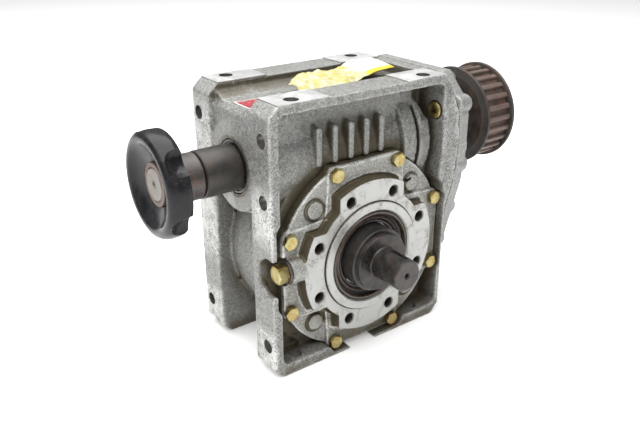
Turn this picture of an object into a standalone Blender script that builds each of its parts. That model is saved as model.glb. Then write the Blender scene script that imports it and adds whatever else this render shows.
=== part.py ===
"""Worm gearbox with a handwheel, a hollow output shaft with a plug-in stub and a toothed belt pulley.

Every size below is in millimetres and is turned into metres when a mesh is made.
Gearbox coordinates: X runs along the worm towards the pulley, Y towards the rear cover, Z up.
X = 0 and Y = 0 lie on the output axis and the mid plane, and Z = 0 is the underside of the feet.
"""

import math

import bmesh
import bpy
from mathutils import Matrix, Vector

MM = 0.001

# Gear pair
MODULE = 4.0
WHEEL_TEETH = 30
PRESSURE_ANGLE = math.radians(20)
CENTRE_DISTANCE = 75.0
LEAD = math.pi * MODULE
WORM_PITCH_RADIUS = 15.0
WORM_TIP_RADIUS = WORM_PITCH_RADIUS + MODULE
WORM_ROOT_RADIUS = WORM_PITCH_RADIUS - 1.2 * MODULE
WORM_THREAD_HALF_LENGTH = 25.0
WHEEL_PITCH_RADIUS = WHEEL_TEETH * MODULE / 2
WHEEL_TIP_RADIUS = 65.5
WHEEL_HALF_WIDTH = 14.0
MESH_CLEARANCE = 1.2
BACKLASH = 1.8

# Housing
OUTPUT_HEIGHT = 77.0
WORM_HEIGHT = OUTPUT_HEIGHT + CENTRE_DISTANCE
HEIGHT = 206.0
LEFT_X = -88.1
RIGHT_X = 76.9
JOINT_X = 77.7
FRAME_Y = 51.6
FRAME_INNER_Y = 26.0
WEB_Y = 30.0
PAD_Y = 34.3
CORNER_CHAMFER = 7.7
WINDOW_LEFT_X = -80.0
WINDOW_RIGHT_X = 68.3
WINDOW_TOP = 199.0
WINDOW_BOTTOM = 9.0
BODY_LEFT_X = -85.0
BODY_HALF_WIDTH = 28.0
DECK_HEIGHT = 195.7
BARREL_RADIUS = 36.0
BOSS_RADIUS = 33.3
CHAMBER_OUTER_RADIUS = 76.4
CHAMBER_RADIUS = 67.6
PAD_RADIUS = 86.0
TUNNEL_RADIUS = 26.3
MOUNT_HOLE_RADIUS = 5.25
MOUNT_HOLE_Y = 42.5
MOUNT_HOLE_END = 23.9
SIDE_HOLE_HEIGHTS = (25.0, 139.0, 182.0)
RIB_COUNT = 5
RIB_FIRST_X = -38.7
RIB_PITCH = 14.2
RIB_WIDTH = 4.6
RIB_LOW, RIB_HIGH = 153.0, 181.3
RIB_FRONT_Y = 40.0
PLUG_HEIGHT = 83.0
PLUG_Y = 44.8
PLUG_SEAT_X = -73.6

# Covers, measured from the output axis
COVER_BACK = 34.6
COVER_FLOOR = 42.6
COVER_FACE = 44.6
COVER_RADIUS = 78.0
LOBE_REACH = 74.6
LOBE_HALF_WIDTH = 35.5
LOBE_CORNER = 4.0
ANNULUS_FACE = 52.4
ANNULUS_RADIUS = 60.8
ANNULUS_CUT_RADIUS = 51.5
ANNULUS_ARM = 30.0
SPIGOT_RADIUS = 43.5
SPIGOT_FACE = 54.0
TAPPED_RADIUS = 4.0
TAPPED_CIRCLE = 52.2
COVER_BOLT_NEAR, COVER_BOLT_FAR = 28.8, 69.4
BOLT_HEAD_TOP = 48.6

# Output shaft parts
HUB_HALF_LENGTH = 61.5
HUB_RADIUS = 25.0
HUB_BORE_RADIUS = 15.3
RIM_BORE_RADIUS = 40.3
OUTPUT_TIP = 92.7
STUB_RADIUS = 12.0
SHOULDER_RADIUS = 22.5
SHOULDER_BACK, SHOULDER_FACE = 61.8, 66.0

# Worm shaft line, along X
SHAFT_LEFT_X = -145.5
SHAFT_RIGHT_X = 166.5
SHAFT_END_RADIUS = 11.65
HANDWHEEL_FRONT_X, HANDWHEEL_BACK_X = -151.0, -134.5
HANDWHEEL_RADIUS = 37.5
COLLAR_LEFT_X, COLLAR_RIGHT_X = -134.0, -115.6
PULLEY_TEETH = 25
PULLEY_TIP_RADIUS = 38.85
PULLEY_ROOT_RADIUS = 36.3
PULLEY_FLANGE_RADIUS = 41.5
PULLEY_LEFT_X, PULLEY_RIGHT_X = 133.0, 165.5
PULLEY_FLANGE_THICKNESS = 2.4

# Input flange
FLANGE_THICKNESS = 9.3
FLANGE_OUTLINE = (
    (37, 204.5), (52, 190), (59.5, 175), (60.5, 147), (57.5, 120), (51.5, 96), (43, 62), (30, 44), (12, 36),
)
FLANGE_BOSSES = ((33, 196), (52, 181), (52.5, 133), (43.5, 94), (34.5, 61))
FLANGE_BOSS_RADIUS = 7.6
UPPER_SCREW = (42.5, 177.0)
UPPER_SCREW_FACE_X = 66.3
UPPER_SCREW_LENGTH = 10.0

# Touching meshes keep a small gap.
# Mating turned pieces have the same number of sides, so that their facets line up.
GAP = 0.3
ROUND = 20
LARGE = 32
CAST_SIDES = 24
HOLE = 8

# World origin: under the middle of the whole object's box
CENTRE_X = (HANDWHEEL_FRONT_X + SHAFT_RIGHT_X) / 2
REAR_SCREW_HEAD = 72.4
CENTRE_Y = (REAR_SCREW_HEAD - OUTPUT_TIP) / 2


def clear_scene():
    for item in list(bpy.data.objects):
        bpy.data.objects.remove(item, do_unlink=True)


def new_collection(name, parent=None):
    made = bpy.data.collections.new(name)
    (parent or bpy.context.scene.collection).children.link(made)
    return made


clear_scene()
PARTS = new_collection("worm_gearbox")
CUTTERS = new_collection("cutters")


def look(name, colour, roughness, metallic):
    made = bpy.data.materials.new(name)
    made.use_nodes = True
    shader = made.node_tree.nodes["Principled BSDF"]
    shader.inputs["Base Color"].default_value = (*colour, 1)
    shader.inputs["Roughness"].default_value = roughness
    shader.inputs["Metallic"].default_value = metallic
    made.diffuse_color = (*colour, 1)
    return made


CAST = look("cast_aluminium", (0.42, 0.42, 0.40), 0.6, 0.7)
SMOOTH_CAST = look("smooth_cast_aluminium", (0.50, 0.50, 0.49), 0.5, 0.7)
ZINC = look("yellow_zinc", (0.62, 0.50, 0.20), 0.35, 0.9)
DARK_STEEL = look("oiled_steel", (0.06, 0.06, 0.065), 0.4, 0.8)
GROUND_STEEL = look("ground_steel", (0.45, 0.45, 0.46), 0.25, 1.0)
BEARING_STEEL = look("bearing_steel", (0.60, 0.60, 0.62), 0.2, 1.0)
BRONZE = look("bronze", (0.60, 0.40, 0.16), 0.35, 1.0)
RUBBER = look("black_rubber", (0.02, 0.02, 0.02), 0.6, 0.0)
BLACK_PLASTIC = look("black_handwheel", (0.015, 0.015, 0.018), 0.15, 0.0)
RUSTY = look("rusty_steel", (0.16, 0.09, 0.06), 0.55, 0.5)
PAPER = look("paper", (0.85, 0.80, 0.45), 0.7, 0.0)


def empty(name, location, rotation=(0, 0, 0), parent=None):
    made = bpy.data.objects.new(name, None)
    PARTS.objects.link(made)
    made.location = Vector(location) * MM
    made.rotation_euler = rotation
    made.parent = parent
    return made


GEARBOX = empty("gearbox_frame", (-CENTRE_X, -CENTRE_Y, 0))
# Local Z of each axis points out of the gearbox: to the front, to the rear, and along the worm to the pulley.
FRONT = empty("output_axis", (0, 0, OUTPUT_HEIGHT), (math.pi / 2, 0, 0), GEARBOX)
REAR = empty("output_axis_rear", (0, 0, OUTPUT_HEIGHT), (math.pi / 2, 0, math.pi), GEARBOX)
WORM = empty("worm_axis", (0, 0, WORM_HEIGHT), (0, math.pi / 2, 0), GEARBOX)


def to_mesh(bm, smooth=True):
    bmesh.ops.scale(bm, vec=(MM, MM, MM), verts=bm.verts)
    bmesh.ops.recalc_face_normals(bm, faces=bm.faces)
    mesh = bpy.data.meshes.new("shape")
    bm.to_mesh(mesh)
    bm.free()
    if smooth:
        mesh.shade_smooth()
        mesh.set_sharp_from_angle(angle=math.radians(35))
    return mesh


def box(low, high):
    bm = bmesh.new()
    size = [b - a for a, b in zip(low, high)]
    middle = [(a + b) / 2 for a, b in zip(low, high)]
    matrix = Matrix.Translation(middle) @ Matrix.Diagonal((*size, 1))
    bmesh.ops.create_cube(bm, size=1, matrix=matrix)
    return to_mesh(bm, smooth=False)


def along(axis):
    """The rotation that turns local Z onto a world axis."""
    quarter = math.pi / 2
    turns = {"X": Matrix.Rotation(quarter, 4, "Y"), "Y": Matrix.Rotation(-quarter, 4, "X"), "Z": Matrix()}
    return turns[axis]


def rod(axis, centre, radius, start, end, sides=ROUND):
    """A cylinder along one axis. The centre gives the other two coordinates, in order."""
    index = "XYZ".index(axis)
    middle = list(centre)
    middle.insert(index, (start + end) / 2)
    bm = bmesh.new()
    matrix = Matrix.Translation(middle) @ along(axis)
    bmesh.ops.create_cone(
        bm, cap_ends=True, segments=sides, radius1=radius, radius2=radius, depth=end - start, matrix=matrix
    )
    return to_mesh(bm)


def plate(outline, axis, start, end):
    """A flat outline, given in the other two axes, extruded along this one."""
    index = "XYZ".index(axis)
    bm = bmesh.new()
    corners = []
    for point in outline:
        place = list(point)
        place.insert(index, start)
        corners.append(bm.verts.new(place))
    face = bm.faces.new(corners)
    side = bmesh.ops.extrude_face_region(bm, geom=[face])["geom"]
    shift = [0, 0, 0]
    shift[index] = end - start
    bmesh.ops.translate(bm, vec=shift, verts=[v for v in side if isinstance(v, bmesh.types.BMVert)])
    return to_mesh(bm)


def loft(sections):
    """Joins rings of the same number of points, and caps both ends."""
    bm = bmesh.new()
    rings = [[bm.verts.new(point) for point in section] for section in sections]
    count = len(rings[0])
    bm.faces.new(rings[0])
    bm.faces.new(reversed(rings[-1]))
    for first, second in zip(rings, rings[1:]):
        for i in range(count):
            j = (i + 1) % count
            bm.faces.new((first[i], second[i], second[j], first[j]))
    return to_mesh(bm)


def piece(name, mesh, finish, parent=GEARBOX, location=(0, 0, 0), turn=0.0):
    """One sub-part. Its place and its turn about local Z are relative to its parent axis."""
    made = bpy.data.objects.new(name, mesh)
    PARTS.objects.link(made)
    if not mesh.materials:
        mesh.materials.append(finish)
    made.parent = parent
    made.location = Vector(location) * MM
    made.rotation_euler = (0, 0, turn)
    return made


def tool(mesh, parent=GEARBOX, location=(0, 0, 0), turn=0.0):
    """A helper solid for a Boolean, which isn't part of the object."""
    made = bpy.data.objects.new("cutter", mesh)
    CUTTERS.objects.link(made)
    made.parent = parent
    made.location = Vector(location) * MM
    made.rotation_euler = (0, 0, turn)
    made.hide_render = True
    made.display_type = "WIRE"
    return made


def screw_turn(made, sides):
    """Turns the object's profile once about its local Z."""
    turning = made.modifiers.new("turn", "SCREW")
    turning.steps = turning.render_steps = sides
    turning.use_merge_vertices = True
    turning.merge_threshold = 0.00001
    turning.use_smooth_shade = True


def profile(points, ring):
    bm = bmesh.new()
    corners = [bm.verts.new((radius, 0, height)) for radius, height in points]
    for first, second in zip(corners, corners[1:]):
        bm.edges.new((first, second))
    if ring:
        bm.edges.new((corners[-1], corners[0]))
    bmesh.ops.scale(bm, vec=(MM, MM, MM), verts=bm.verts)
    mesh = bpy.data.meshes.new("profile")
    bm.to_mesh(mesh)
    bm.free()
    return mesh


def turned(name, points, finish, parent, sides=ROUND, ring=False):
    """A turned sub-part. Points (radius, height) run from the top down the outer side."""
    made = piece(name, profile(points, ring), finish, parent)
    screw_turn(made, sides)
    return made


def turned_tool(points, parent, sides=ROUND, ring=False):
    made = tool(profile(points, ring), parent)
    screw_turn(made, sides)
    return made


def sleeve_profile(inner, outer, low, high):
    return (inner, high), (outer, high), (outer, low), (inner, low)


def combine(target, operation, tools):
    """Adds one Boolean with every given helper as its operands."""
    group = new_collection(f"{target.name}_{operation.lower()}_{len(target.modifiers)}", CUTTERS)
    for helper in tools:
        CUTTERS.objects.unlink(helper)
        group.objects.link(helper)
    step = target.modifiers.new(operation.lower(), "BOOLEAN")
    step.operation = operation
    step.operand_type = "COLLECTION"
    step.collection = group
    step.solver = "EXACT"


def circle(radius, count, phase=0.0, centre=(0.0, 0.0)):
    angles = [phase + 2 * math.pi * k / count for k in range(count)]
    return [(centre[0] + radius * math.cos(a), centre[1] + radius * math.sin(a)) for a in angles]


def arc(radius, start, end, count):
    angles = [start + (end - start) * k / count for k in range(count + 1)]
    return [(radius * math.cos(a), radius * math.sin(a)) for a in angles]


def chamfered(left, right, low, high, cut):
    return [
        (left + cut, low), (right - cut, low), (right, low + cut), (right, high - cut),
        (right - cut, high), (left + cut, high), (left, high - cut), (left, low + cut),
    ]


def four_fold(quarter):
    """Repeats a quarter outline, given about the +X side, at 0, 90, 180 and 270 degrees."""
    points = []
    for k in range(4):
        c, s = (1, 0, -1, 0)[k], (0, 1, 0, -1)[k]
        points += [(x * c - y * s, x * s + y * c) for x, y in quarter]
    return points


def both_sides(points):
    return [(side * y, z) for side in (-1, 1) for y, z in points]


# Housing ------------------------------------------------------------------------------------------


def flange_shape():
    """The input flange's outline in Y and Z, symmetric about the worm."""
    left = [(-y, z) for y, z in reversed(FLANGE_OUTLINE)]
    return list(FLANGE_OUTLINE) + left


def pad_outline(margin):
    """The sealing face for a cover: a circle cut off by the base and the side columns."""
    low = margin - OUTPUT_HEIGHT
    points = []
    for x, y in circle(PAD_RADIUS, LARGE):
        points.append((min(max(x, WINDOW_LEFT_X - 2), RIGHT_X - 1), max(y, low) + OUTPUT_HEIGHT))
    kept = [p for k, p in enumerate(points) if p != points[k - 1]]
    return kept


def cover_outline(margin=0.0):
    """Round body with four straight-sided lobes, as a closed outline about the output axis."""
    reach, half, radius = LOBE_REACH + margin, LOBE_HALF_WIDTH + margin, COVER_RADIUS + margin
    start = math.asin(half / radius)
    side = reach - LOBE_CORNER
    lobe = [(side, -half), (reach, -half + LOBE_CORNER), (reach, half - LOBE_CORNER), (side, half)]
    return four_fold(lobe + arc(radius, start, math.pi / 2 - start, 4))


def housing_end():
    """The right-hand end wall, which spreads from the frames' width to the flange's outline."""
    outer = flange_shape()
    scale = FRAME_Y / max(y for y, _ in FLANGE_OUTLINE)
    inner = [(y * scale, min(z, HEIGHT - 0.5)) for y, z in outer]
    return loft([[(66.0, y, z) for y, z in inner], [(JOINT_X, y, z) for y, z in outer]])


def housing():
    frame = chamfered(LEFT_X, RIGHT_X, 0, HEIGHT, CORNER_CHAMFER)
    window = chamfered(WINDOW_LEFT_X, WINDOW_RIGHT_X, WINDOW_BOTTOM, WINDOW_TOP, 5.0)
    made = piece("housing", plate(frame, "Y", -FRAME_Y, -FRAME_INNER_Y), CAST)
    combine(made, "UNION", [
        tool(plate(frame, "Y", FRAME_INNER_Y, FRAME_Y)),
        tool(box((BODY_LEFT_X, -BODY_HALF_WIDTH, WORM_HEIGHT), (RIGHT_X - 1, BODY_HALF_WIDTH, DECK_HEIGHT))),
        tool(housing_end()),
    ])
    combine(made, "DIFFERENCE", [
        tool(plate(window, "Y", -FRAME_Y - 1, -WEB_Y)),
        tool(plate(window, "Y", WEB_Y, FRAME_Y + 1)),
    ])
    combine(made, "UNION", housing_features())
    combine(made, "DIFFERENCE", housing_cuts())
    return made


def housing_features():
    features = [
        tool(rod("X", (0, WORM_HEIGHT), BOSS_RADIUS, BODY_LEFT_X - 0.7, -60, CAST_SIDES)),
        tool(rod("X", (0, WORM_HEIGHT), BARREL_RADIUS, -79, 60, CAST_SIDES)),
        tool(rod("Y", (0, OUTPUT_HEIGHT), CHAMBER_OUTER_RADIUS, -PAD_Y + 1, PAD_Y - 1, CAST_SIDES)),
        tool(plate(pad_outline(0.6), "Y", -PAD_Y, -FRAME_INNER_Y - 1)),
        tool(plate(pad_outline(0.6), "Y", FRAME_INNER_Y + 1, PAD_Y)),
    ]
    for start, end, radius in ((38, 50.5, 43.5), (53, 63, 44.5)):
        features.append(tool(rod("X", (0, WORM_HEIGHT), radius, start, end, CAST_SIDES)))
    for k in range(RIB_COUNT):
        x = RIB_FIRST_X + RIB_PITCH * k
        low, high = (x - RIB_WIDTH / 2, -RIB_FRONT_Y, RIB_LOW), (x + RIB_WIDTH / 2, RIB_FRONT_Y, RIB_HIGH)
        features.append(tool(box(low, high)))
    return features


def housing_cuts():
    """Gear chamber, worm tunnel, bearing and seal seats, cover pockets and every hole."""
    cuts = [
        tool(rod("Y", (0, OUTPUT_HEIGHT), CHAMBER_RADIUS, -40, 40, CAST_SIDES)),
        turned_tool(
            [(0, JOINT_X + 3), (31.3, JOINT_X + 3), (31.3, 50), (TUNNEL_RADIUS, 50), (TUNNEL_RADIUS, -78.2),
             (20.2, -78.2), (20.2, -90), (0, -90)], WORM),
    ]
    for side in (-1, 1):
        start, end = sorted((side * PAD_Y, side * (FRAME_Y + 1)))
        pocket = [(x, z + OUTPUT_HEIGHT) for x, z in cover_outline(0.5)]
        cuts.append(tool(plate(pocket, "Y", start, end)))
        cuts.append(tool(box((-18, start, -1), (8, end, 12))))
        cuts.append(tool(rod("X", (side * (PLUG_Y + 2), PLUG_HEIGHT), 14.0, LEFT_X - 1, -70, 16)))
        y = side * MOUNT_HOLE_Y
        for x in (LEFT_X + MOUNT_HOLE_END, RIGHT_X - MOUNT_HOLE_END):
            cuts.append(tool(rod("Z", (x, y), MOUNT_HOLE_RADIUS, WINDOW_TOP - 4, HEIGHT + 1, HOLE)))
            cuts.append(tool(rod("Z", (x, y), MOUNT_HOLE_RADIUS, -1, WINDOW_BOTTOM + 4, HOLE)))
        for z in SIDE_HOLE_HEIGHTS:
            cuts.append(tool(rod("X", (y, z), MOUNT_HOLE_RADIUS, LEFT_X - 1, WINDOW_LEFT_X + 4, HOLE)))
        cuts.append(tool(rod("X", (side * UPPER_SCREW[0], UPPER_SCREW[1]), 4.4, 60, JOINT_X + 1, HOLE)))
        cuts.append(tool(rod("X", (side * UPPER_SCREW[0], UPPER_SCREW[1]), 7.2, 56, 74, HOLE + 2)))
        for x, z in bolt_places():
            start, end = sorted((side * 24.0, side * (PAD_Y + 1)))
            cuts.append(tool(rod("Y", (x, z + OUTPUT_HEIGHT), 3.4, start, end, 6)))
    return cuts


def bolt_places():
    near, far = COVER_BOLT_NEAR, COVER_BOLT_FAR
    return four_fold([(far, -near), (far, near)])


# Covers -------------------------------------------------------------------------------------------


def annulus_outline():
    """Machined mounting face: four wide arms of a disc, cut back to a smaller circle between them."""
    wide = math.asin(ANNULUS_ARM / ANNULUS_RADIUS)
    narrow = math.asin(ANNULUS_ARM / ANNULUS_CUT_RADIUS)
    arm = arc(ANNULUS_RADIUS, -wide, wide, 6)
    cut = arc(ANNULUS_CUT_RADIUS, narrow, math.pi / 2 - narrow, 2)
    return four_fold(arm + cut)


def lobe_cross():
    inner = LOBE_HALF_WIDTH
    side = LOBE_REACH - LOBE_CORNER
    end = [(LOBE_REACH, -inner + LOBE_CORNER), (LOBE_REACH, inner - LOBE_CORNER)]
    return four_fold([(side, -inner)] + end + [(side, inner), (inner, inner)])


def cover(name, axis, with_plug):
    made = piece(name, plate(cover_outline(), "Z", COVER_BACK, COVER_FLOOR), CAST, axis)
    inside = [(66.9, 36), (66.9, 28), (61.5, 28), (61.5, 36)]
    seat = [(30, 40), (47.5, 40), (47.5, 28.3), (30, 28.3)]
    foot = [(0, 46), (64.5, 46), (66.5, 42), (0, 42)]
    spigot = [(0, SPIGOT_FACE), (SPIGOT_RADIUS, SPIGOT_FACE), (SPIGOT_RADIUS, 40), (0, 40)]
    additions = [
        tool(plate(lobe_cross(), "Z", COVER_BACK + 0.5, COVER_FACE), axis),
        tool(plate(annulus_outline(), "Z", COVER_BACK + 1, ANNULUS_FACE), axis),
        turned_tool(spigot, axis, LARGE),
        turned_tool(foot, axis, LARGE),
        turned_tool(inside, axis, LARGE, ring=True),
        turned_tool(seat, axis, LARGE, ring=True),
    ]
    if with_plug:
        additions.append(tool(rod("X", (PLUG_HEIGHT - OUTPUT_HEIGHT, PLUG_Y), 9.8, -71.6, -54), axis))
    combine(made, "UNION", additions)
    bore = [(0, 60), (36.3, 60), (36.3, 45.9), (40.3, 45.9), (40.3, 20), (0, 20)]
    holes = [turned_tool(bore, axis)]
    for x, y in bolt_places():
        holes.append(tool(rod("Z", (x, y), 3.5, 30, 47, 8), axis))
    for x, y in circle(TAPPED_CIRCLE, 8, math.pi / 8):
        holes.append(tool(rod("Z", (x, y), TAPPED_RADIUS, 38, 56, HOLE), axis))
    if with_plug:
        holes.append(tool(rod("X", (PLUG_HEIGHT - OUTPUT_HEIGHT, PLUG_Y), 5.9, -73, -63, HOLE), axis))
        holes.append(tool(rod("X", (PLUG_HEIGHT - OUTPUT_HEIGHT, PLUG_Y), 10.4, -80, -71.7, 16), axis))
    combine(made, "DIFFERENCE", holes)
    return made


def hexagon(across_flats, height, centre=(0.0, 0.0)):
    points = circle(across_flats / math.sqrt(3), 6, math.pi / 6, centre)
    return [(x, y, height) for x, y in points]


def hex_bolt_mesh(flats, head_low, head_high, shank_radius, tip):
    """A hexagon-head screw along local Z, with a chamfer on its head."""
    shank = shank_radius * math.sqrt(3)
    return loft([
        hexagon(flats * 0.86, head_high), hexagon(flats, head_high - 0.6), hexagon(flats, head_low),
        hexagon(shank, head_low), hexagon(shank, tip + 1), hexagon(shank * 0.8, tip),
    ])


def cover_bolts():
    mesh = hex_bolt_mesh(10.0, COVER_FACE + 0.2, BOLT_HEAD_TOP, 2.7, 25.5)
    for side, axis in (("front", FRONT), ("rear", REAR)):
        for number, (x, y) in enumerate(bolt_places(), 1):
            turn = 0.0 if abs(x) > abs(y) else math.pi / 2
            piece(f"{side}_cover_bolt_{number}", mesh, ZINC, axis, (x, y, 0), turn)


# Input flange -------------------------------------------------------------------------------------


def input_flange():
    left, right = JOINT_X + GAP, JOINT_X + GAP + FLANGE_THICKNESS
    made = piece("input_flange", plate(flange_shape(), "X", left, right), SMOOTH_CAST)
    outer = [(0, 96), (33, 96), (34.5, right - 1), (30.9, left + 1), (30.9, 66.6), (0, 66.6)]
    additions = [turned_tool(outer, WORM)]
    for y, z in both_sides(FLANGE_BOSSES):
        additions.append(tool(rod("X", (y, z), FLANGE_BOSS_RADIUS, left, right + 4.5, 12)))
    combine(made, "UNION", additions)
    bore = [
        (0, 100), (17.5, 100), (17.5, 80.3), (23.7, 80.3),
        (23.7, 71.5), (27.0, 71.5), (27.0, 60), (0, 60),
    ]
    holes = [turned_tool(bore, WORM)]
    for side in (-1, 1):
        holes.append(tool(rod("X", (side * UPPER_SCREW[0], UPPER_SCREW[1]), 4.0, left - 2, right - 3, HOLE)))
    combine(made, "DIFFERENCE", holes)
    return made


def socket_screw_mesh(head_radius, head_length, shank_radius, length):
    """A socket-head cap screw along local Z, with its head's face at Z = 0 and its shank below."""
    def ring(radius, height):
        return [(x, y, height) for x, y in circle(radius, 6, math.pi / 6)]

    socket, under = head_radius * 0.56, -head_length
    return loft([
        ring(socket, -head_length * 0.6), ring(socket, 0), ring(head_radius, 0), ring(head_radius, under),
        ring(shank_radius, under), ring(shank_radius, under - length),
    ])


def flange_screws():
    """They go in from the frames' windows, into blind holes in the flange."""
    mesh = socket_screw_mesh(6.5, 7.5, 3.5, UPPER_SCREW_LENGTH)
    for number, side in enumerate((-1, 1), 1):
        place = (UPPER_SCREW_FACE_X, side * UPPER_SCREW[0], UPPER_SCREW[1])
        made = piece(f"flange_screw_{number}", mesh, ZINC, GEARBOX, place)
        made.rotation_euler = (0, -math.pi / 2, 0)


# Worm shaft and worm wheel ------------------------------------------------------------------------


def worm_thread():
    """One right-hand trapezoid thread, which starts a little below the root so that it joins the shaft."""
    per_turn = 12
    turns = 2 * WORM_THREAD_HALF_LENGTH / LEAD
    count = round(per_turn * turns)
    slope = math.tan(PRESSURE_ANGLE)
    pitch_half = math.pi * MODULE / 4
    sunk = WORM_ROOT_RADIUS - 0.5
    sections = []
    for k in range(count + 1):
        angle = 2 * math.pi * (k / per_turn - turns / 2)
        fade = min(1.0, (min(k, count - k) + 0.4) / 4)
        tip = WORM_ROOT_RADIUS + (WORM_TIP_RADIUS - WORM_ROOT_RADIUS) * fade
        low_half = pitch_half + (WORM_PITCH_RADIUS - sunk) * slope
        tip_half = pitch_half - (WORM_TIP_RADIUS - WORM_PITCH_RADIUS) * slope
        middle = LEAD * angle / (2 * math.pi)
        shape = ((sunk, -low_half), (tip, -tip_half), (tip, tip_half), (sunk, low_half))
        sections.append([(r * math.cos(angle), r * math.sin(angle), middle + z) for r, z in shape])
    return loft(sections)


def worm_shaft():
    steps = [
        (0, SHAFT_RIGHT_X - 3), (1.6, SHAFT_RIGHT_X - 3), (2.6, SHAFT_RIGHT_X), (11, SHAFT_RIGHT_X),
        (12, SHAFT_RIGHT_X - 1), (12, 97), (14.9, 97), (14.9, 50.2), (18, 50.2), (18, 35),
        (WORM_ROOT_RADIUS, 31), (WORM_ROOT_RADIUS, -31),
        (15.5, -36), (15.5, -62.8), (12.4, -62.8), (12.4, -85.6),
        (SHAFT_END_RADIUS, -85.6), (SHAFT_END_RADIUS, SHAFT_LEFT_X + 1), (SHAFT_END_RADIUS - 1, SHAFT_LEFT_X),
        (2.4, SHAFT_LEFT_X), (1.4, SHAFT_LEFT_X + 3), (0, SHAFT_LEFT_X + 3),
    ]
    made = turned("worm_shaft", steps, GROUND_STEEL, WORM)
    combine(made, "UNION", [tool(worm_thread(), WORM)])
    combine(made, "DIFFERENCE", [tool(box((-20, -4.15, 118), (-8.0, 4.15, 160)), WORM)])
    return made


def wheel_section(height):
    """The wheel's outline in one slice across its width, with gaps that follow the worm's thread."""
    base_radius = WHEEL_PITCH_RADIUS * math.cos(PRESSURE_ANGLE)

    def involute(radius):
        angle = math.acos(min(1.0, base_radius / radius))
        return math.tan(angle) - angle

    def half_gap(radius):
        """Off the mid plane the same wheel radius meets the thread further out, where it is thinner."""
        pitch = (math.pi * MODULE / 2 + BACKLASH) / 2 / WHEEL_PITCH_RADIUS
        level = CENTRE_DISTANCE - math.hypot(height, CENTRE_DISTANCE - radius)
        return pitch + involute(level) - involute(WHEEL_PITCH_RADIUS)

    def helix_shift(radius):
        return -LEAD / (2 * math.pi) * math.atan2(-height, CENTRE_DISTANCE - radius) / WHEEL_PITCH_RADIUS

    def reach(worm_radius):
        return CENTRE_DISTANCE - math.sqrt(max(0.0, (worm_radius + MESH_CLEARANCE) ** 2 - height ** 2))

    tip = min(WHEEL_TIP_RADIUS, reach(WORM_ROOT_RADIUS))
    bottom = reach(WORM_TIP_RADIUS)
    points = []
    for tooth in range(WHEEL_TEETH):
        centre = math.pi / 2 - 2 * math.pi * tooth / WHEEL_TEETH
        for radius, side in ((tip, 1), (bottom, 1), (bottom, -1), (tip, -1)):
            angle = centre + helix_shift(radius) + side * half_gap(radius)
            points.append((radius * math.cos(angle), radius * math.sin(angle), height))
    return points


def worm_wheel():
    heights = [-WHEEL_HALF_WIDTH + 2 * WHEEL_HALF_WIDTH * k / 4 for k in range(5)]
    rim = piece("wheel_rim", loft([wheel_section(height) for height in heights]), BRONZE, FRONT)
    combine(rim, "DIFFERENCE", [tool(rod("Z", (0, 0), RIM_BORE_RADIUS, -20, 20, ROUND), FRONT)])
    end, flange = HUB_HALF_LENGTH, 12.5
    hub = turned("wheel_hub", [
        (HUB_BORE_RADIUS, end), (HUB_RADIUS, end), (HUB_RADIUS, 28), (29, 27), (31, flange + 3),
        (RIM_BORE_RADIUS - 0.5, flange), (RIM_BORE_RADIUS - 0.5, -flange), (31, -flange - 3), (29, -27),
        (HUB_RADIUS, -28), (HUB_RADIUS, -end), (HUB_BORE_RADIUS, -end),
    ], CAST, FRONT, ring=True)
    combine(hub, "DIFFERENCE", [tool(box((-4.3, 10, -end - 1), (4.3, 18.6, end + 1)), FRONT)])


def output_shaft():
    """The plug-in stub: a shoulder against the hub's front end and a keyway open at the shaft's tip."""
    inner, rear = HUB_BORE_RADIUS - 0.3, -58.0
    made = turned("output_shaft", [
        (0, OUTPUT_TIP - 3), (1.6, OUTPUT_TIP - 3), (2.4, OUTPUT_TIP), (STUB_RADIUS - 1, OUTPUT_TIP),
        (STUB_RADIUS, OUTPUT_TIP - 1), (STUB_RADIUS, SHOULDER_FACE), (SHOULDER_RADIUS - 0.6, SHOULDER_FACE),
        (SHOULDER_RADIUS, SHOULDER_FACE - 0.6), (SHOULDER_RADIUS, SHOULDER_BACK), (inner, SHOULDER_BACK),
        (inner, rear), (5.0, rear), (5.0, -36), (0, -36),
    ], DARK_STEEL, FRONT)
    keyway = tool(box((-4.0, 8.0, 71), (4.0, 20, OUTPUT_TIP - 3)), FRONT, turn=math.radians(-38))
    inner_keyway = tool(box((-4.3, 10.7, -46), (4.3, 20, 46)), FRONT)
    combine(made, "DIFFERENCE", [keyway, inner_keyway])
    piece("output_key", box((-4, 11, -45), (4, 18.3, 45)), GROUND_STEEL, FRONT)
    turned("retaining_washer", sleeve_profile(5.4, 22, 61.8, 65.6), GROUND_STEEL, REAR, ring=True)
    piece("retaining_screw", hex_bolt_mesh(16.0, 65.8, REAR_SCREW_HEAD, 4.6, 38.5), ZINC, REAR)


# Bearings and seals -------------------------------------------------------------------------------


def bearing(name, axis, low, high, radii, balls):
    """Outer ring, inner ring, and the balls with their cage. The radii run outwards."""
    bore, inner_top, outer_low, outside = radii
    for ring, (inside, out) in (("outer_ring", (outer_low, outside)), ("inner_ring", (bore, inner_top))):
        turned(f"{name}_{ring}", sleeve_profile(inside, out, low, high), BEARING_STEEL, axis, ring=True)
    pitch = (inner_top + outer_low) / 2
    ball = (outer_low - inner_top) / 2 - 2 * GAP
    middle = (low + high) / 2
    cage = turned(
        f"{name}_balls", sleeve_profile(pitch - ball * 0.45, pitch + ball * 0.45, middle - 1.6, middle + 1.6),
        BEARING_STEEL, axis, 12, True)
    bm = bmesh.new()
    bmesh.ops.create_uvsphere(bm, u_segments=6, v_segments=3, radius=ball)
    mesh = to_mesh(bm)
    combine(cage, "UNION", [tool(mesh, axis, (x, y, middle)) for x, y in circle(pitch, balls, 0.1)])


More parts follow.
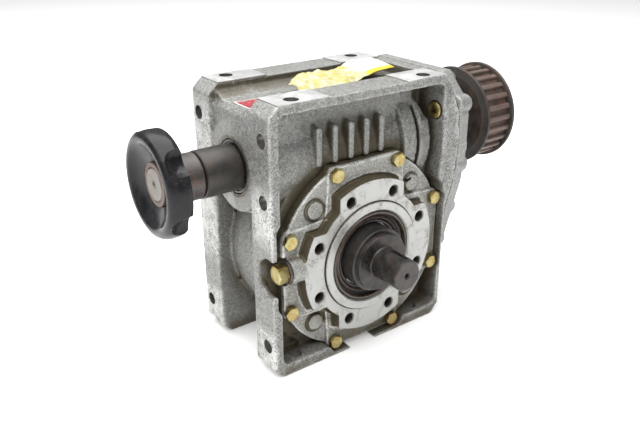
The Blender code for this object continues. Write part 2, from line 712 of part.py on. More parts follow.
def bearings_and_seals():
    for name, axis in (("front_bearing", FRONT), ("rear_bearing", REAR)):
        bearing(name, axis, 29.2, 45.6, (25.3, 27.6, 37.4, 40.0), 7)
    bearing("worm_left_bearing", WORM, -77.9, -63.1, (12.7, 15.2, 23.4, 26.0), 6)
    bearing("worm_right_bearing", WORM, 50.5, 66.3, (15.2, 18.0, 28.2, 31.0), 6)
    lip = [(35.9, 53.6), (35.9, 46.2), (25.5, 46.2), (25.5, 48.6), (32.5, 49.4), (33.0, 53.6)]
    for name, axis in (("front_output_seal", FRONT), ("rear_output_seal", REAR)):
        turned(name, lip, RUBBER, axis, ring=True)
    turned("worm_left_seal", sleeve_profile(12.7, 19.9, -85.2, -78.5), RUBBER, WORM, ring=True)
    turned("worm_right_seal", sleeve_profile(15.2, 23.4, 72.0, 80.0), RUBBER, WORM, ring=True)


# Parts outside the casing -------------------------------------------------------------------------


def oil_plug():
    place = (PLUG_SEAT_X, -PLUG_Y, PLUG_HEIGHT)
    head = hex_bolt_mesh(13.0, 0.2, 8.2, 5.2, -8.0)
    plug = piece("oil_plug", head, ZINC, GEARBOX, place)
    plug.rotation_euler = (0, -math.pi / 2, 0)
    washer = turned("plug_washer", sleeve_profile(5.5, 8.6, -1.6, 0.0), RUSTY, GEARBOX, 16, ring=True)
    washer.location = Vector(place) * MM
    washer.rotation_euler = (0, -math.pi / 2, 0)


def handwheel():
    """Rounded rim, dished front towards -X, and five finger grooves that are open at the back."""
    front, back, rim = HANDWHEEL_FRONT_X, HANDWHEEL_BACK_X, HANDWHEEL_RADIUS
    made = turned("handwheel", [
        (15.2, back), (19, back), (20, back - 3), (29, back - 3), (30, back), (35, back), (rim - 0.4, back - 2.5),
        (rim, back - 7), (rim - 0.4, front + 4), (rim - 2.5, front + 1), (rim - 5.5, front), (rim - 8.5, front + 0.4),
        (24, front + 5), (15.2, front + 8.5),
    ], BLACK_PLASTIC, WORM, 28, ring=True)
    grooves = []
    for k in range(5):
        angle = math.radians(72 * k - 128)
        x, y = 43.5 * math.cos(angle), 43.5 * math.sin(angle)
        grooves.append(tool(rod("Z", (x, y), 12.0, front + 6, back + 6, 12), WORM))
    combine(made, "DIFFERENCE", grooves)
    bush = sleeve_profile(SHAFT_END_RADIUS + GAP, 14.9, front + 6.0, back - 1.2)
    turned("handwheel_bushing", bush, RUSTY, WORM, ring=True)


def sleeve_and_collar():
    bore = SHAFT_END_RADIUS + GAP
    turned("shaft_sleeve", sleeve_profile(bore, 17.0, -114.3, -86.2), DARK_STEEL, WORM, ring=True)
    turned("shaft_collar", sleeve_profile(bore, 16.6, COLLAR_LEFT_X, COLLAR_RIGHT_X), RUSTY, WORM, ring=True)


def pulley_outline():
    """T10 belt pulley: straight-sided tooth gaps, narrower at their floor."""
    step = 2 * math.pi / PULLEY_TEETH
    points = []
    for k in range(PULLEY_TEETH):
        for radius, share in ((PULLEY_ROOT_RADIUS, -0.24), (PULLEY_ROOT_RADIUS, 0.24),
                              (PULLEY_TIP_RADIUS, 0.32), (PULLEY_TIP_RADIUS, 0.68)):
            angle = step * (k + share)
            points.append((radius * math.cos(angle), radius * math.sin(angle)))
    return points


def pulley():
    left, right, thin = PULLEY_LEFT_X, PULLEY_RIGHT_X, PULLEY_FLANGE_THICKNESS
    toothed = plate(pulley_outline(), "Z", left + thin + 0.2, right - thin - 0.2)
    made = piece("pulley", toothed, RUSTY, WORM)
    hub = turned_tool([(0, right), (33, right), (33, left), (24, left), (24, 99), (0, 99)], WORM)
    combine(made, "UNION", [hub])
    combine(made, "DIFFERENCE", [
        tool(rod("Z", (0, 0), 12.3, 90, 170), WORM),
        tool(box((-15.6, -4.3, 90), (0, 4.3, 170)), WORM),
        turned_tool([(29, right + 2), (29, right - 6), (18, right - 6), (18, right + 2)], WORM, ring=True),
    ])
    ring = 33.3
    for name, start in (("pulley_flange_inner", left), ("pulley_flange_outer", right - thin)):
        disc = sleeve_profile(ring, PULLEY_FLANGE_RADIUS, start, start + thin)
        turned(name, disc, DARK_STEEL, WORM, LARGE, True)
    piece("pulley_key", box((-15.2, -3.9, 119), (-8.3, 3.9, 159)), GROUND_STEEL, WORM)


def paper_label():
    """A crumpled strip of paper that lies on the deck between the frames."""
    across, thick = 10, 1.2
    sections = []
    for k in range(across + 1):
        t = k / across
        x = -30 + 78 * t
        lift = 1.2 + 7.5 * t * t + 2.0 * abs(math.sin(6.5 * t))
        low, high = -24 + 14 * t, 2 + 20 * t
        middle = DECK_HEIGHT + lift
        far = middle + 1.5
        sections.append([(x, low, middle), (x, high, far), (x, high, far + thick), (x, low, middle + thick)])
    piece("paper_label", loft(sections), PAPER)


housing()
cover("front_cover", FRONT, True)
cover("rear_cover", REAR, False)
cover_bolts()
input_flange()
flange_screws()
worm_shaft()
worm_wheel()
output_shaft()
bearings_and_seals()
oil_plug()
handwheel()
sleeve_and_collar()
pulley()
paper_label()
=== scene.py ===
"""Looks of the worm gearbox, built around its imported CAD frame.

Shapes are made in gearbox millimetres: X along the worm towards the pulley, Y towards the rear cover, Z up,
with X = 0 and Y = 0 on the output axis and the mid plane. They are then moved into the frame's own metres.
"""

import math
import random

import bmesh
import bpy
import numpy as np
from mathutils import Matrix, Vector, noise


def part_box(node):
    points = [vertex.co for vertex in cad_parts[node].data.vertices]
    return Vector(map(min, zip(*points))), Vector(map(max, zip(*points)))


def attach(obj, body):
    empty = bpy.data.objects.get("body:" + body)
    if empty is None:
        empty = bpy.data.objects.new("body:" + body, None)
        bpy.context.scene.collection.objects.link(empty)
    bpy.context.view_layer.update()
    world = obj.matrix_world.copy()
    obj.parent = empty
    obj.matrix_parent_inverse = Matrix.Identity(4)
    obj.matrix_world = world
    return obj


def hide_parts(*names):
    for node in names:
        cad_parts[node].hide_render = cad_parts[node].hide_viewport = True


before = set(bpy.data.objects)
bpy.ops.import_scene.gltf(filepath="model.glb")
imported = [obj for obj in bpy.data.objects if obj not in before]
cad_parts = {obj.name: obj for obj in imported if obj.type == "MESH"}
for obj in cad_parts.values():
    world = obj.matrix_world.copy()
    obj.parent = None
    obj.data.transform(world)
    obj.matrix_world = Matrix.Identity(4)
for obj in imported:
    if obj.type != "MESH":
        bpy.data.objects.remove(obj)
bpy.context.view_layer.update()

MM = 0.001
SEED = 7

# Main sizes of the gearbox, in millimetres
OUTPUT_HEIGHT = 77.0
WORM_HEIGHT = 152.0
HEIGHT = 206.0
LEFT_X, RIGHT_X, JOINT_X = -88.1, 76.9, 77.7
FRAME_Y, FRAME_INNER_Y, WEB_Y, PAD_Y = 51.6, 26.0, 30.0, 34.3
DECK = 195.7
CAST_TOP = 205.4
HOLE_X = (-64.2, 53.0)
HOLE_Y = 42.5
SIDE_HOLES = (25.0, 139.0, 182.0)
COVER_BACK, COVER_FLOOR, COVER_FACE, ANNULUS_FACE, SPIGOT_FACE = 34.6, 42.6, 44.6, 52.4, 54.0
PLUG_Y, PLUG_HEIGHT, PLUG_SEAT_X = 44.8, 83.0, -73.6
FINE = 64

CASE_LOW, CASE_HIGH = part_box("housing")
ORIGIN = Vector((CASE_LOW.x / MM - LEFT_X, (CASE_LOW.y + CASE_HIGH.y) / 2 / MM, 0.0))
AXES = {
    "box": Matrix(),
    "front": Matrix.Translation((0, 0, OUTPUT_HEIGHT)) @ Matrix.Rotation(math.pi / 2, 4, "X"),
    "rear": Matrix.Translation((0, 0, OUTPUT_HEIGHT)) @ Matrix.Rotation(math.pi, 4, "Z")
    @ Matrix.Rotation(math.pi / 2, 4, "X"),
    "worm": Matrix.Translation((0, 0, WORM_HEIGHT)) @ Matrix.Rotation(math.pi / 2, 4, "Y"),
}
SAND = bpy.data.textures.new("sand", "CLOUDS")
SAND.noise_scale = 1.6
SAND.noise_depth = 2
WORK = bpy.data.collections.new("work")
bpy.context.scene.collection.children.link(WORK)


# Meshes -------------------------------------------------------------------------------------------


def solid(bm, axis="box", name="work"):
    """An object in gearbox millimetres from a closed mesh that was made about one of the axes."""
    bmesh.ops.transform(bm, matrix=AXES[axis], verts=bm.verts)
    bmesh.ops.recalc_face_normals(bm, faces=bm.faces)
    mesh = bpy.data.meshes.new(name)
    bm.to_mesh(mesh)
    bm.free()
    made = bpy.data.objects.new(name, mesh)
    WORK.objects.link(made)
    return made


def block(low, high, axis="box"):
    bm = bmesh.new()
    size = [b - a for a, b in zip(low, high)]
    middle = [(a + b) / 2 for a, b in zip(low, high)]
    bmesh.ops.create_cube(bm, size=1, matrix=Matrix.Translation(middle) @ Matrix.Diagonal((*size, 1)))
    return solid(bm, axis)


def lathe(points, axis, sides=FINE, ring=False):
    """Turns (radius, height) points about an axis. An open profile starts and ends on the axis."""
    bm = bmesh.new()
    rings = []
    for radius, height in points:
        if radius == 0:
            rings.append([bm.verts.new((0, 0, height))] * sides)
            continue
        angles = [2 * math.pi * k / sides for k in range(sides)]
        rings.append([bm.verts.new((radius * math.cos(a), radius * math.sin(a), height)) for a in angles])
    pairs = list(zip(rings, rings[1:])) + ([(rings[-1], rings[0])] if ring else [])
    for first, second in pairs:
        for k in range(sides):
            j = (k + 1) % sides
            corners = [first[k], second[k], second[j], first[j]]
            bm.faces.new([v for i, v in enumerate(corners) if v != corners[i - 1]])
    return solid(bm, axis)


def rod(direction, centre, radius, start, end, sides=FINE, axis="box", tip=None):
    """A cylinder along X, Y or Z of an axis frame. The centre gives the other two coordinates, in order."""
    index = "XYZ".index(direction)
    middle = list(centre)
    middle.insert(index, (start + end) / 2)
    turns = (Matrix.Rotation(math.pi / 2, 4, "Y"), Matrix.Rotation(-math.pi / 2, 4, "X"), Matrix())
    bm = bmesh.new()
    bmesh.ops.create_cone(
        bm, cap_ends=True, segments=sides, radius1=radius, radius2=radius if tip is None else tip,
        depth=end - start, matrix=Matrix.Translation(middle) @ turns[index])
    return solid(bm, axis)


def plate(outline, direction, start, end, axis="box"):
    """A flat outline, given in the other two coordinates, extruded along X, Y or Z."""
    index = "XYZ".index(direction)
    bm = bmesh.new()
    corners = []
    for point in outline:
        spot = list(point)
        spot.insert(index, start)
        corners.append(bm.verts.new(spot))
    side = bmesh.ops.extrude_face_region(bm, geom=[bm.faces.new(corners)])["geom"]
    shift = [0, 0, 0]
    shift[index] = end - start
    bmesh.ops.translate(bm, vec=shift, verts=[v for v in side if isinstance(v, bmesh.types.BMVert)])
    return solid(bm, axis)


def loft(sections, axis="box"):
    bm = bmesh.new()
    rings = [[bm.verts.new(point) for point in section] for section in sections]
    count = len(rings[0])
    bm.faces.new(rings[0])
    bm.faces.new(reversed(rings[-1]))
    for first, second in zip(rings, rings[1:]):
        for i in range(count):
            j = (i + 1) % count
            bm.faces.new((first[i], second[i], second[j], first[j]))
    return solid(bm, axis)


def ball(centre, radius, axis="box"):
    bm = bmesh.new()
    place = Matrix.Translation(centre)
    bmesh.ops.create_uvsphere(bm, u_segments=32, v_segments=16, radius=radius, matrix=place)
    return solid(bm, axis)


def circle(radius, count, phase=0.0, centre=(0.0, 0.0)):
    angles = [phase + 2 * math.pi * k / count for k in range(count)]
    return [(centre[0] + radius * math.cos(a), centre[1] + radius * math.sin(a)) for a in angles]


def arc(radius, start, end, count, centre=(0.0, 0.0)):
    angles = [start + (end - start) * k / count for k in range(count + 1)]
    return [(centre[0] + radius * math.cos(a), centre[1] + radius * math.sin(a)) for a in angles]


def rounded(corners, radius, steps=4):
    """The outline with each corner rounded."""
    points = []
    for k, corner in enumerate(corners):
        here, before, after = Vector(corner), Vector(corners[k - 1]), Vector(corners[(k + 1) % len(corners)])
        to_before, to_after = (before - here).normalized(), (after - here).normalized()
        half = to_before.angle(to_after) / 2
        reach = min(radius / math.tan(half), (before - here).length * 0.48, (after - here).length * 0.48)
        start, end = here + to_before * reach, here + to_after * reach
        for i in range(steps + 1):
            t = i / steps
            points.append(tuple(start * (1 - t) ** 2 + here * 2 * t * (1 - t) + end * t * t))
    return points


def four_fold(quarter):
    points = []
    for k in range(4):
        c, s = (1, 0, -1, 0)[k], (0, 1, 0, -1)[k]
        points += [(x * c - y * s, x * s + y * c) for x, y in quarter]
    return points


def mirrored(makers):
    """Calls each maker for the front (-1) and the rear (1)."""
    return [made for side in (-1, 1) for made in makers(side)]


def span(side, near, far):
    return sorted((side * near, side * far))


def finalise(target):
    """Turns the object's modifiers into its mesh."""
    graph = bpy.context.evaluated_depsgraph_get()
    mesh = bpy.data.meshes.new_from_object(target.evaluated_get(graph))
    target.modifiers.clear()
    target.data = mesh
    return target


def combine(target, operation, tools, solver="EXACT"):
    group = bpy.data.collections.new("tools")
    bpy.context.scene.collection.children.link(group)
    for item in tools:
        WORK.objects.unlink(item)
        group.objects.link(item)
    step = target.modifiers.new("step", "BOOLEAN")
    step.operation = operation
    step.operand_type = "COLLECTION"
    step.collection = group
    step.solver = solver
    finalise(target)
    for item in tools:
        bpy.data.objects.remove(item)
    bpy.data.collections.remove(group)
    return target


def soften(target, voxel, smoothing, keep, grain):
    """Rounds every edge and roughens the skin, as sand casting does, and thins the mesh."""
    remesh = target.modifiers.new("remesh", "REMESH")
    remesh.mode = "VOXEL"
    remesh.voxel_size = voxel
    smooth = target.modifiers.new("smooth", "SMOOTH")
    smooth.factor = 0.5
    smooth.iterations = smoothing
    sand = target.modifiers.new("sand", "DISPLACE")
    sand.texture = SAND
    sand.texture_coords = "LOCAL"
    sand.strength = grain
    thin = target.modifiers.new("thin", "DECIMATE")
    thin.ratio = keep
    return finalise(target)


def piece(made, name, body, materials, nodes=(), sharp=35):
    """Moves a finished work object into the frame's metres, names it, shades it smooth, gives its materials,
    attaches it to its body and hides the CAD nodes it replaces.
    """
    made.name = name
    made.data.name = name
    WORK.objects.unlink(made)
    bpy.context.scene.collection.objects.link(made)
    made.data.transform(Matrix.Scale(MM, 4) @ Matrix.Translation(ORIGIN))
    made.data.shade_smooth()
    if sharp:
        made.data.set_sharp_from_angle(angle=math.radians(sharp))
    if materials:
        give(made.data, materials)
    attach(made, body)
    if nodes:
        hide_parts(*nodes)
    return made


def face_arrays(mesh):
    """Each face's middle and normal, in gearbox millimetres."""
    centres = np.empty(len(mesh.polygons) * 3, np.float32)
    normals = np.empty(len(mesh.polygons) * 3, np.float32)
    mesh.polygons.foreach_get("center", centres)
    mesh.polygons.foreach_get("normal", normals)
    return centres.reshape(-1, 3), normals.reshape(-1, 3)


def outline_distance(points, outline):
    """Distance of each point from a closed outline."""
    best = np.full(len(points), 1e9)
    for start, end in zip(outline, outline[1:] + outline[:1]):
        start, along = np.array(start), np.array(end) - np.array(start)
        share = np.clip(((points - start) @ along) / (along @ along), 0, 1)
        best = np.minimum(best, np.hypot(*(points - start - share[:, None] * along).T))
    return best


def point_values(mesh, name, values):
    mesh.attributes.new(name, "FLOAT", "POINT").data.foreach_set("value", values.astype(np.float32))


def points_of(mesh):
    points = np.empty(len(mesh.vertices) * 3, np.float32)
    mesh.vertices.foreach_get("co", points)
    return points.reshape(-1, 3)


def fade(values, full, none):
    """1 where the value is at full, 0 at none, and a ramp in between."""
    return np.clip((none - values) / (none - full), 0, 1)


def give(mesh, materials):
    mesh.materials.clear()
    for item in materials:
        mesh.materials.append(item)


def mark_faces(mesh, chosen, index):
    """Gives the chosen faces another material slot."""
    slots = np.empty(len(mesh.polygons), np.int32)
    mesh.polygons.foreach_get("material_index", slots)
    slots[chosen] = index
    mesh.polygons.foreach_set("material_index", slots)


# Materials ----------------------------------------------------------------------------------------


class Look:
    """A procedural material. Patterns use the frame's own coordinates, in metres."""

    def __init__(self, name, **sockets):
        self.material = bpy.data.materials.new(name)
        self.material.use_nodes = True
        self.tree = self.material.node_tree
        self.shader = self.tree.nodes["Principled BSDF"]
        self.coordinates = self.tree.nodes.new("ShaderNodeTexCoord").outputs["Object"]
        for key, value in sockets.items():
            self.shader.inputs[key.replace("_", " ")].default_value = value

    def node(self, kind, inputs, **settings):
        made = self.tree.nodes.new(kind)
        for key, value in settings.items():
            setattr(made, key, value)
        for key, value in inputs.items():
            if isinstance(value, bpy.types.NodeSocket):
                self.tree.links.new(value, made.inputs[key])
            else:
                made.inputs[key].default_value = value
        return made

    def noise(self, scale, detail=3.0, roughness=0.55, vector=None, distortion=0.0):
        return self.node("ShaderNodeTexNoise", {
            "Vector": vector or self.coordinates, "Scale": scale, "Detail": detail, "Roughness": roughness,
            "Distortion": distortion}).outputs["Fac"]

    def cells(self, scale, feature="F1", vector=None):
        inputs = {"Vector": vector or self.coordinates, "Scale": scale}
        return self.node("ShaderNodeTexVoronoi", inputs, feature=feature).outputs["Distance"]

    def stretched(self, factors):
        return self.vector_maths("MULTIPLY", self.coordinates, factors)

    def vector_maths(self, operation, first, second):
        return self.node("ShaderNodeVectorMath", {0: first, 1: second}, operation=operation).outputs[0]

    def maths(self, operation, first, second=0.0, clamp=False):
        inputs = {0: first, 1: second}
        return self.node("ShaderNodeMath", inputs, operation=operation, use_clamp=clamp).outputs[0]

    def times(self, first, second, clamp=False):
        return self.maths("MULTIPLY", first, second, clamp)

    def plus(self, first, second):
        return self.maths("ADD", first, second)

    def ranged(self, value, low, high, to_low=0.0, to_high=1.0):
        return self.node("ShaderNodeMapRange", {
            "Value": value, "From Min": low, "From Max": high, "To Min": to_low, "To Max": to_high},
            interpolation_type="SMOOTHSTEP").outputs["Result"]

    def mix(self, amount, first, second):
        made = self.node("ShaderNodeMix", {}, data_type="RGBA")
        for key, value in ((0, amount), (6, first), (7, second)):
            if isinstance(value, bpy.types.NodeSocket):
                self.tree.links.new(value, made.inputs[key])
            else:
                made.inputs[key].default_value = (*value, 1)
        return made.outputs[2]

    def closeness(self, distance, samples=6):
        """0 in the open and 1 deep in a corner."""
        made = self.node("ShaderNodeAmbientOcclusion", {"Distance": distance}, samples=samples)
        return self.maths("SUBTRACT", 1.0, made.outputs["AO"])

    def edges(self, low, high):
        pointy = self.node("ShaderNodeNewGeometry", {}).outputs["Pointiness"]
        return self.ranged(pointy, low, high)

    def axis_distance(self, axis):
        """Distance from the output axis or the worm axis, in millimetres."""
        centre = ORIGIN * MM + Vector((0, 0, OUTPUT_HEIGHT if axis == "output" else WORM_HEIGHT)) * MM
        kept = (1000, 0, 1000) if axis == "output" else (0, 1000, 1000)
        flat = self.vector_maths("MULTIPLY", self.vector_maths("SUBTRACT", self.coordinates, centre), kept)
        return self.node("ShaderNodeVectorMath", {0: flat}, operation="LENGTH").outputs["Value"]

    def position(self, letter):
        """One coordinate in gearbox millimetres."""
        split = self.node("ShaderNodeSeparateXYZ", {0: self.coordinates}).outputs["XYZ".index(letter)]
        scaled = self.times(split, 1000.0)
        return self.maths("SUBTRACT", scaled, ORIGIN["XYZ".index(letter)])

    def attribute(self, name):
        return self.node("ShaderNodeAttribute", {}, attribute_name=name).outputs["Fac"]

    def bump(self, height, strength, distance):
        made = self.node("ShaderNodeBump", {"Height": height, "Strength": strength, "Distance": distance})
        self.tree.links.new(made.outputs[0], self.shader.inputs["Normal"])

    def set(self, socket, value):
        self.tree.links.new(value, self.shader.inputs[socket])


def cast_look(name, dark, light, brown, grain, attributes):
    """Raw sand-cast aluminium: old oil and painted shade in corners, painted glint specks, worn edges with a
    painted highlight.
    """
    look = Look(name, Metallic=0.45)
    fine = look.noise(1050, 3, 0.75)
    coarse = look.noise(380, 3, 0.65)
    patches = look.noise(28, 4, 0.6, distortion=0.6)
    pits = look.cells(560)
    grey = look.mix(look.ranged(look.plus(fine, look.times(coarse, 0.5)), 0.62, 0.88), dark, light)
    grey = look.mix(look.ranged(patches, 0.42, 0.74, 0.0, 0.35), grey, light)
    # Painted shade with old oil: an ambient-occlusion mask darkens the skin towards brown in corners and
    # recesses.
    corner = look.closeness(0.016)
    # The skin gets darker and browner towards the bottom.
    low = look.ranged(look.position("Z"), 95.0, 5.0, 0.0, 0.20)
    oil_and_shade = look.plus(corner, low)
    if attributes:
        oil_and_shade = look.plus(oil_and_shade, look.times(look.attribute("stain_and_shade"), 0.85))
    oil_and_shade = look.times(oil_and_shade, look.ranged(patches, 0.30, 0.62, 0.65, 1.5))
    oil_and_shade = look.ranged(oil_and_shade, 0.16, 0.80, 0.0, 0.95)
    colour = look.mix(oil_and_shade, grey, brown)
    # Brighter along sharp edges: wear, with a painted highlight.
    worn = look.times(look.edges(0.515, 0.60), 0.55)
    if attributes:
        worn = look.plus(worn, look.attribute("shine"))
    rubbed = look.plus(look.times(fine, 0.6), look.times(look.noise(110, 5, 0.75), 0.6))
    worn = look.times(worn, look.ranged(rubbed, 0.50, 0.66), clamp=True)
    colour = look.mix(look.times(worn, 0.9), colour, (0.70, 0.70, 0.675))
    # Light specks painted into the grain stand in for glints: painted highlight.
    painted_glints = look.ranged(look.noise(1500, 2, 0.8), 0.585, 0.66)
    colour = look.mix(look.times(painted_glints, look.ranged(oil_and_shade, 0.9, 0.2, 0.12, 0.65)), colour, (0.72, 0.72, 0.69))
    colour = look.mix(look.ranged(pits, 0.20, 0.04, 0.0, 0.65), colour, tuple(c * 0.35 for c in dark))
    look.set("Base Color", colour)
    look.set("Roughness", look.ranged(coarse, 0.3, 0.7, 0.42, 0.62))
    height = look.plus(look.times(fine, 0.8), coarse)
    height = look.plus(height, look.ranged(pits, 0.2, 0.0, 0.0, -0.5))
    look.bump(height, grain, 0.00045)
    return look.material


def machined_look(name, colour, stained):
    """Milled aluminium: bright, with fine cutter marks and dull grey blotches."""
    look = Look(name, Metallic=0.78)
    marks = look.noise(900, 2, 0.5, vector=look.stretched((0.12, 1.0, 1.0)))
    blotches = look.noise(70, 5, 0.68, distortion=0.8)
    small = look.noise(520, 3, 0.7)
    dull = look.times(look.ranged(blotches, 0.50, 0.62), look.ranged(small, 0.34, 0.62))
    shade = look.mix(look.times(dull, stained), colour, (0.20, 0.19, 0.165))
    # Painted shade with brown grime: an ambient-occlusion mask darkens tight corners.
    shade = look.mix(look.times(look.closeness(0.006), 0.8), shade, (0.12, 0.10, 0.06))
    look.set("Base Color", shade)
    look.set("Roughness", look.ranged(blotches, 0.35, 0.7, 0.28, 0.46))
    look.bump(look.plus(marks, small), 0.16, 0.00016)
    return look.material


def steel_look(name, colour, second, roughness, metallic, rust=0.0, grain=0.2, scale=260):
    """Turned steel: fine rings of tooling, oil patches and, where asked, rust."""
    look = Look(name, Metallic=metallic)
    patches = look.noise(75, 5, 0.62, distortion=0.4)
    small = look.noise(scale * 3.2, 3, 0.65)
    shade = look.mix(look.ranged(patches, 0.36, 0.66), colour, second)
    shade = look.mix(look.times(look.ranged(small, 0.5, 0.7), 0.35), shade, tuple(c * 1.7 for c in second))
    if rust:
        spots = look.times(look.ranged(look.noise(150, 5, 0.7), 0.47, 0.64), rust)
        shade = look.mix(spots, shade, (0.155, 0.062, 0.030))
    # Brighter along sharp edges: wear, with a painted highlight.
    edge = look.times(look.edges(0.53, 0.66), 0.5)
    shade = look.mix(edge, shade, tuple(min(1.0, c * 2.6 + 0.05) for c in second))
    look.set("Base Color", shade)
    look.set("Roughness", look.ranged(patches, 0.3, 0.7, roughness - 0.08, roughness + 0.14))
    rings = look.noise(scale * 4, 2, 0.5, vector=look.stretched((1.0, 0.04, 0.04)))
    look.bump(look.plus(small, rings), grain, 0.00012)
    return look.material


def zinc_look():
    """Yellow-passivated zinc with iridescent patches, wear, and grime with painted shade in its corners."""
    look = Look("yellow_zinc_plate", Metallic=0.85)
    patches = look.noise(210, 4, 0.6)
    small = look.noise(1200, 3, 0.7)
    shade = look.mix(look.ranged(patches, 0.35, 0.65), (0.36, 0.26, 0.085), (0.50, 0.45, 0.22))
    each = look.node("ShaderNodeObjectInfo", {}).outputs["Random"]
    shade = look.mix(look.ranged(each, 0.35, 1.0, 0.0, 0.55), shade, (0.30, 0.17, 0.06))
    shade = look.mix(look.ranged(small, 0.58, 0.72, 0.0, 0.75), shade, (0.10, 0.08, 0.035))
    # Painted shade with grime: an ambient-occlusion mask darkens the corners towards brown.
    shade = look.mix(look.times(look.closeness(0.006), 0.85), shade, (0.07, 0.05, 0.02))
    look.set("Base Color", shade)
    look.set("Roughness", look.ranged(patches, 0.3, 0.7, 0.24, 0.46))
    look.bump(look.plus(small, patches), 0.3, 0.0002)
    return look.material


def plastic_look():
    """Glossy black moulding with a faint haze and handling marks."""
    look = Look("handwheel_gloss", Metallic=0.0, IOR=1.36)
    haze = look.noise(60, 4, 0.6)
    small = look.noise(900, 2, 0.6)
    shade = look.mix(look.ranged(haze, 0.4, 0.7), (0.007, 0.007, 0.008), (0.015, 0.014, 0.016))
    dust = look.times(look.ranged(small, 0.62, 0.72), look.ranged(haze, 0.45, 0.6))
    shade = look.mix(look.times(dust, 0.5), shade, (0.10, 0.08, 0.06))
    near = look.ranged(look.axis_distance("worm"), 17.5, 12.5)
    shade = look.mix(look.times(near, look.ranged(haze, 0.38, 0.56)), shade, (0.085, 0.048, 0.022))
    look.set("Base Color", shade)
    look.set("Roughness", look.ranged(haze, 0.35, 0.7, 0.17, 0.34))
    look.bump(haze, 0.05, 0.0005)
    return look.material


def rubber_look():
    """Oily black rubber with brown rings where grease has dried."""
    look = Look("seal_rubber", Metallic=0.0, Specular_IOR_Level=0.6)
    ripple = look.noise(180, 4, 0.6)
    distance = look.plus(look.axis_distance("output"), look.times(ripple, 0.8))
    ring = look.times(look.ranged(distance, 33.2, 34.0), look.ranged(distance, 36.6, 35.4))
    inner = look.times(look.ranged(distance, 28.2, 29.0), look.ranged(distance, 31.6, 30.6))
    shade = look.mix(look.times(ring, 0.8), (0.010, 0.009, 0.009), (0.075, 0.046, 0.026))
    shade = look.mix(look.times(inner, 0.7), shade, (0.055, 0.028, 0.016))
    look.set("Base Color", shade)
    look.set("Roughness", look.ranged(ripple, 0.3, 0.7, 0.22, 0.5))
    look.bump(ripple, 0.12, 0.0004)
    return look.material


def paper_look():
    """Crumpled paper, yellow with white worn patches; its flat end is white with a yellow edge."""
    look = Look("crumpled_paper", Metallic=0.0, Roughness=0.55)
    folds = look.noise(120, 5, 0.7, distortion=1.2)
    small = look.noise(600, 3, 0.7)
    shade = look.mix(look.ranged(folds, 0.42, 0.60), (0.44, 0.38, 0.10), (0.50, 0.49, 0.37))
    shade = look.mix(look.ranged(small, 0.60, 0.72, 0.0, 0.5), shade, (0.20, 0.17, 0.07))
    along = look.attribute("along")
    across = look.attribute("across")
    white = look.mix(look.ranged(small, 0.6, 0.7, 0.0, 0.25), (0.62, 0.62, 0.60), (0.30, 0.30, 0.28))
    band = look.ranged(across, 0.20, 0.16)
    white = look.mix(band, white, (0.60, 0.48, 0.03))
    shade = look.mix(look.ranged(along, 0.66, 0.72), shade, white)
    look.set("Base Color", shade)
    look.bump(folds, 0.5, 0.0012)
    return look.material


def sticker_look():
    """Red foil with a pale worn border and a rubbed surface."""
    look = Look("red_foil", Metallic=0.0, Roughness=0.35)
    rub = look.noise(700, 4, 0.75)
    border = look.ranged(look.attribute("rim"), 0.055, 0.035)
    shade = look.mix(look.ranged(rub, 0.50, 0.62, 0.0, 0.9), (0.30, 0.010, 0.018), (0.50, 0.30, 0.29))
    shade = look.mix(border, shade, (0.62, 0.61, 0.60))
    look.set("Base Color", shade)
    look.bump(rub, 0.2, 0.0002)
    return look.material


CAST = cast_look(
    "sand_cast_skin", (0.125, 0.125, 0.115), (0.34, 0.34, 0.325), (0.082, 0.066, 0.036), 0.9, True)
COVER_CAST = cast_look(
    "cover_cast_skin", (0.165, 0.165, 0.15), (0.40, 0.40, 0.37), (0.088, 0.070, 0.036), 0.6, True)
FLANGE_CAST = cast_look(
    "flange_cast_skin", (0.20, 0.20, 0.195), (0.33, 0.33, 0.32), (0.10, 0.085, 0.06), 0.4, False)
MACHINED = machined_look("milled_pads", (0.92, 0.92, 0.91), 0.10)
# Darker copies of the milled finish for faces that do not face up: the worn one is wear with painted shade, the
# hole walls' one is painted shade.
MACHINED_WORN_SHADED = machined_look("milled_faces_worn_shaded", (0.41, 0.41, 0.395), 0.8)
SHADED_HOLE_WALL = machined_look("drilled_holes_shaded", (0.22, 0.215, 0.20), 0.8)
ZINC = zinc_look()
DARK_STEEL = steel_look("oily_dark_steel", (0.022, 0.021, 0.021), (0.060, 0.056, 0.053), 0.34, 0.5, 0.15, 0.3)
SLEEVE_STEEL = steel_look(
    "dark_sleeve_steel", (0.040, 0.038, 0.035), (0.062, 0.058, 0.053), 0.42, 0.6, 0.12, 0.2)
COLLAR_STEEL = steel_look("collar_steel", (0.055, 0.048, 0.047), (0.10, 0.092, 0.090), 0.42, 0.6, 0.55, 0.5)
GREY_STEEL = steel_look("grey_steel", (0.13, 0.12, 0.105), (0.23, 0.215, 0.19), 0.45, 0.6, 0.2, 0.5)
RUSTY = steel_look("brown_rusty_steel", (0.055, 0.037, 0.030), (0.095, 0.070, 0.058), 0.55, 0.4, 0.5, 0.7)
FLANGE_STEEL = steel_look(
    "pulley_flange_steel", (0.026, 0.024, 0.022), (0.050, 0.045, 0.041), 0.5, 0.4, 0.3, 0.4)
BEARING = steel_look("bearing_steel", (0.48, 0.48, 0.49), (0.62, 0.62, 0.63), 0.2, 1.0, 0.0, 0.1)
BRONZE = steel_look("wheel_bronze", (0.50, 0.30, 0.10), (0.66, 0.44, 0.18), 0.32, 1.0, 0.0, 0.2)
PLASTIC = plastic_look()
RUBBER = rubber_look()
PAPER = paper_look()
STICKER = sticker_look()


# Housing ------------------------------------------------------------------------------------------

